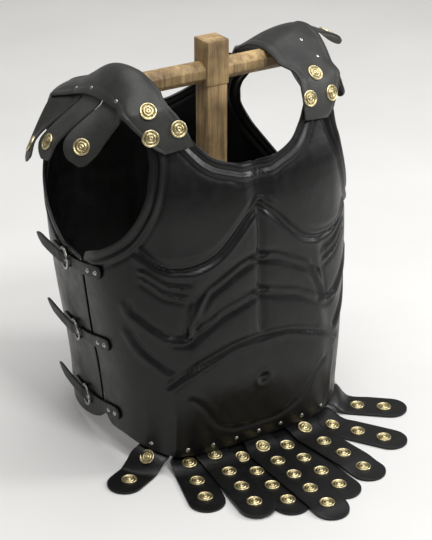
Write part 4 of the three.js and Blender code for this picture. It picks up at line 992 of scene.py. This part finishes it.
# half the wire, the buckle's front and rear bars, and heights off the wall: the
# billet before the buckle, both bars, and the billet over the rear bar
WIRE = BUCKLE_WIRE / 2
FORE, REAR = BUCKLE_BACK - BUCKLE_WIDTH / 2, BUCKLE_BACK + BUCKLE_WIDTH / 2
LOW = CLEAR + BILLET_THICKNESS / 2 + SEAT
FORE_BAR = LOW + BILLET_THICKNESS / 2 + CLEAR + WIRE + SEAT
REAR_BAR = CLEAR + WIRE + SEAT
OVER = REAR_BAR + WIRE + CLEAR + BILLET_THICKNESS / 2 + 2 * SEAT


def wall_at(y, z, off):
    """Point on the body's left side at a distance behind the seam."""
    angle = 90 + math.degrees(math.atan2(y, half_width(z)))
    for _ in range(4):
        angle = 90 + math.degrees(math.atan2(y, body(angle, z)[0]))
    return body(angle, z, off)


def billet_height(row, y):
    """Height of a billet's middle at a distance behind the seam."""
    line = [(-BILLET_FRONT, row[1]), (BUCKLE_BACK, row[2]), (TIP_BACK, row[3])]
    return float(read(line, y, 1)) * BODY_HEIGHT


def side_strap(row, flank, name):
    """One billet, from its rounded front end to its pointed tip."""
    tail = lambda share: REAR + (TIP_BACK - REAR) * share
    frame_at = lambda share: FORE + (REAR - FORE) * share
    # distance behind the seam, middle off the wall, share of the width
    stations = np.array([
        (-BILLET_FRONT, LOW, 0.30),
        (-BILLET_FRONT * 0.975, LOW, 0.62),
        (-BILLET_FRONT * 0.93, LOW, 0.86),
        (-BILLET_FRONT * 0.84, LOW, 1.0),
        (-BILLET_FRONT * 0.5, LOW, 1.0),
        (-BILLET_FRONT * 0.2, LOW, 0.94),
        (FORE * 0.32, LOW, 0.90),
        (FORE * 0.81, LOW, 0.90),
        (FORE, LOW, 0.90),
        (frame_at(0.24), LOW + SEAT, 0.90),
        (frame_at(0.6), LOW + (OVER - LOW) * 0.6, 0.90),
        (frame_at(0.81), OVER, 0.90),
        (tail(0.04), OVER + TIP_LIFT * 0.07, 0.92),
        (tail(0.31), OVER + TIP_LIFT * 0.33, 0.92),
        (tail(0.69), OVER + TIP_LIFT * 0.78, 0.86),
        (tail(0.88), OVER + TIP_LIFT * 0.93, 0.52),
        (TIP_BACK, OVER + TIP_LIFT, 0.12),
    ])

    def place(u, v):
        y = -BILLET_FRONT + (TIP_BACK + BILLET_FRONT) * v
        off = np.interp(y, stations[:, 0], stations[:, 1])
        wide = np.interp(y, stations[:, 0], stations[:, 2])
        return np.array([
            wall_at(a, billet_height(row, a) + (b - 0.5) * BILLET_WIDTH * w, o) * (flank, 1, 1)
            for a, b, w, o in zip(y, u, wide, off)
        ])

    bm = lay_grid(4, 60, place)
    face_out(bm, lambda f: f.normal.x * flank * f.calc_area())
    which = f"{name}_{row[0]}"
    strap = shown(f"side_strap_leather_{which}", bm, strap_leather, "strap_leather", f"side_strap_{which}")
    give_thickness(strap, BILLET_THICKNESS, 0, 0.0005)


def chape(row, flank, name):
    """The short strap that holds the buckle, from its rear bar backwards under the billet."""
    off = CLEAR + CHAPE_THICKNESS / 2 + SEAT / 3

    def place(u, v):
        y = REAR + WIRE + CLEAR + (CHAPE_LENGTH - WIRE - CLEAR) * v
        wide = np.where(v > 0.8, 1 - 0.45 * ((v - 0.8) / 0.2) ** 2, 1)
        z = billet_height(row, BUCKLE_BACK)
        return np.array([
            wall_at(a, z + (b - 0.5) * BILLET_WIDTH * w, off) * (flank, 1, 1)
            for a, b, w in zip(y, u, wide)
        ])

    bm = lay_grid(4, 12, place)
    face_out(bm, lambda f: f.normal.x * flank * f.calc_area())
    which = f"{name}_{row[0]}"
    strap = shown(f"buckle_chape_{which}", bm, strap_leather, "strap_leather", f"buckle_tab_{which}")
    give_thickness(strap, CHAPE_THICKNESS, 0, 0.0004)


def side_buckle(row, flank, name):
    """An oval ring of round wire, hinge bar low and front bar high, with its prong."""
    z = billet_height(row, BUCKLE_BACK)
    around, sides = 48, 12
    turns = 2 * math.pi * np.arange(around) / around
    ring = np.array([
        wall_at(
            BUCKLE_BACK - math.cos(a) * BUCKLE_WIDTH / 2,
            z + math.sin(a) * BUCKLE_HEIGHT / 2,
            REAR_BAR + (FORE_BAR - REAR_BAR) * (0.5 + 0.5 * math.cos(a)),
        )
        for a in turns
    ])
    outward = ring - ring.mean(0)
    outward /= np.linalg.norm(outward, axis=1)[:, None]
    along = np.roll(ring, -1, axis=0) - np.roll(ring, 1, axis=0)
    along /= np.linalg.norm(along, axis=1)[:, None]
    across = np.cross(along, outward)

    def place(u, v):
        k = np.rint(u * around).astype(int) % around
        a = (2 * math.pi * v)[:, None]
        return ring[k] + (outward[k] * np.cos(a) + across[k] * np.sin(a)) * WIRE

    bm = lay_grid(around, sides, place)
    bmesh.ops.remove_doubles(bm, verts=bm.verts, dist=1e-6)
    # the prong lies on the billet and over the front bar
    start = wall_at(FORE - WIRE * 0.9, z, FORE_BAR + WIRE * 0.75)
    end = wall_at(BUCKLE_BACK + 0.002, z, LOW + BILLET_THICKNESS * 0.9)
    length, radius = float(np.linalg.norm(end - start)), WIRE * 0.62
    prong = bmesh.ops.create_cone(
        bm, cap_ends=True, segments=10, radius1=radius, radius2=radius, depth=length,
    )["verts"]
    turn_to = Vector(end - start).to_track_quat("Z", "Y").to_matrix().to_4x4()
    bmesh.ops.transform(bm, matrix=Matrix.Translation(Vector((start + end) / 2)) @ turn_to, verts=prong)
    bmesh.ops.scale(bm, vec=(flank, 1, 1), verts=bm.verts)
    bmesh.ops.recalc_face_normals(bm, faces=bm.faces)
    shown(f"buckle_wire_{name}_{row[0]}", bm, nickel, "nickel", f"buckle_{name}_{row[0]}")


# the two rivets' distances from the seam, forwards
FRONT_RIVETS = (-0.034, -0.018)
side_rivets = []
for flank, name in ((1, "left"), (-1, "right")):
    for row in SIDE_ROWS:
        side_strap(row, flank, name)
        chape(row, flank, name)
        side_buckle(row, flank, name)
        for y in FRONT_RIVETS:
            at = wall_at(y, billet_height(row, y), LOW + BILLET_THICKNESS / 2)
            n = at - wall_at(y, billet_height(row, y), 0)
            side_rivets.append((at * (flank, 1, 1), n / np.linalg.norm(n) * (flank, 1, 1)))
rivets("side_rivets", side_rivets, radius=0.0033, height=0.0020)


# The stand
# A square post with a larger head and a thin board for a foot, and a bar with
# eight sides through the head. Old unfinished pine, planed, scuffed and brown.
wood = new_material("weathered pine")
where = add(wood, "ShaderNodeTexCoord")
long_grain = add(wood, "ShaderNodeMapping", [(where, "Object", "Vector")], Scale=(1.0, 1.0, 0.06))
rings = add(wood, "ShaderNodeTexNoise", [(long_grain, "Vector", "Vector")],
            Scale=190.0, Detail=7.0, Roughness=0.62, Distortion=0.6)
weather = add(wood, "ShaderNodeTexNoise", [(where, "Object", "Vector")], Scale=26.0, Detail=5.0)
both = add(wood, "ShaderNodeMath", [(rings, "Fac", 0), (weather, "Fac", 1)], operation="MULTIPLY")
dark_to_pale = [(0.10, "#4f3e2a"), (0.22, "#8c7450"), (0.40, "#c0a272")]
tone = add(wood, "ShaderNodeValToRGB", [(both, "Value", "Fac")], stops=dark_to_pale)
bump = add(wood, "ShaderNodeBump", [(rings, "Fac", "Height")], Strength=0.4, Distance=0.0006)
surface = [(tone, "Color", "Base Color"), (bump, "Normal", "Normal")]
skin = add(wood, "ShaderNodeBsdfPrincipled", surface, Roughness=0.66, IOR=1.45)
add(wood, "ShaderNodeOutputMaterial", [(skin, "BSDF", "Surface")])

POST_SIDE, HEAD_SIDE, HEAD_LENGTH, POST_TOP = 0.0284, 0.031, 0.056, 0.517
BASE_SIDE, BASE_THICKNESS, BAR_LENGTH = 0.190, 0.014, 0.236


def soften_edges(bm, wide):
    """Takes the sharpness off every edge of a timber."""
    bmesh.ops.bevel(bm, geom=bm.edges[:], offset=wide, segments=2, affect="EDGES", profile=0.5, material=-1)


def block(name, side, low, high, *node):
    """A square timber between two heights."""
    bm = bmesh.new()
    bmesh.ops.create_cube(bm, size=1.0)
    bmesh.ops.scale(bm, vec=(side, side, high - low), verts=bm.verts)
    bmesh.ops.translate(bm, vec=(0, 0, (low + high) / 2), verts=bm.verts)
    soften_edges(bm, 0.0012)
    shown(name, bm, wood, "wood", *node)


block("base_board", BASE_SIDE, 0, BASE_THICKNESS, "stand_base")
block("post_timber", POST_SIDE, BASE_THICKNESS, POST_TOP - HEAD_LENGTH + 0.002)
block("post_head", HEAD_SIDE, POST_TOP - HEAD_LENGTH, POST_TOP, "stand_post")
bm = bmesh.new()
corner = BAR_THICKNESS / 2 / math.cos(math.pi / 8)
bmesh.ops.create_cone(bm, cap_ends=True, segments=8, radius1=corner, radius2=corner, depth=BAR_LENGTH)
bmesh.ops.rotate(bm, matrix=Matrix.Rotation(math.pi / 8, 3, "Z"), verts=bm.verts)
bmesh.ops.rotate(bm, matrix=Matrix.Rotation(math.pi / 2, 3, "Y"), verts=bm.verts)
bmesh.ops.translate(bm, vec=(0, 0, BAR_HEIGHT), verts=bm.verts)
soften_edges(bm, 0.0008)
shown("crossbar_timber", bm, wood, "wood", "stand_crossbar")
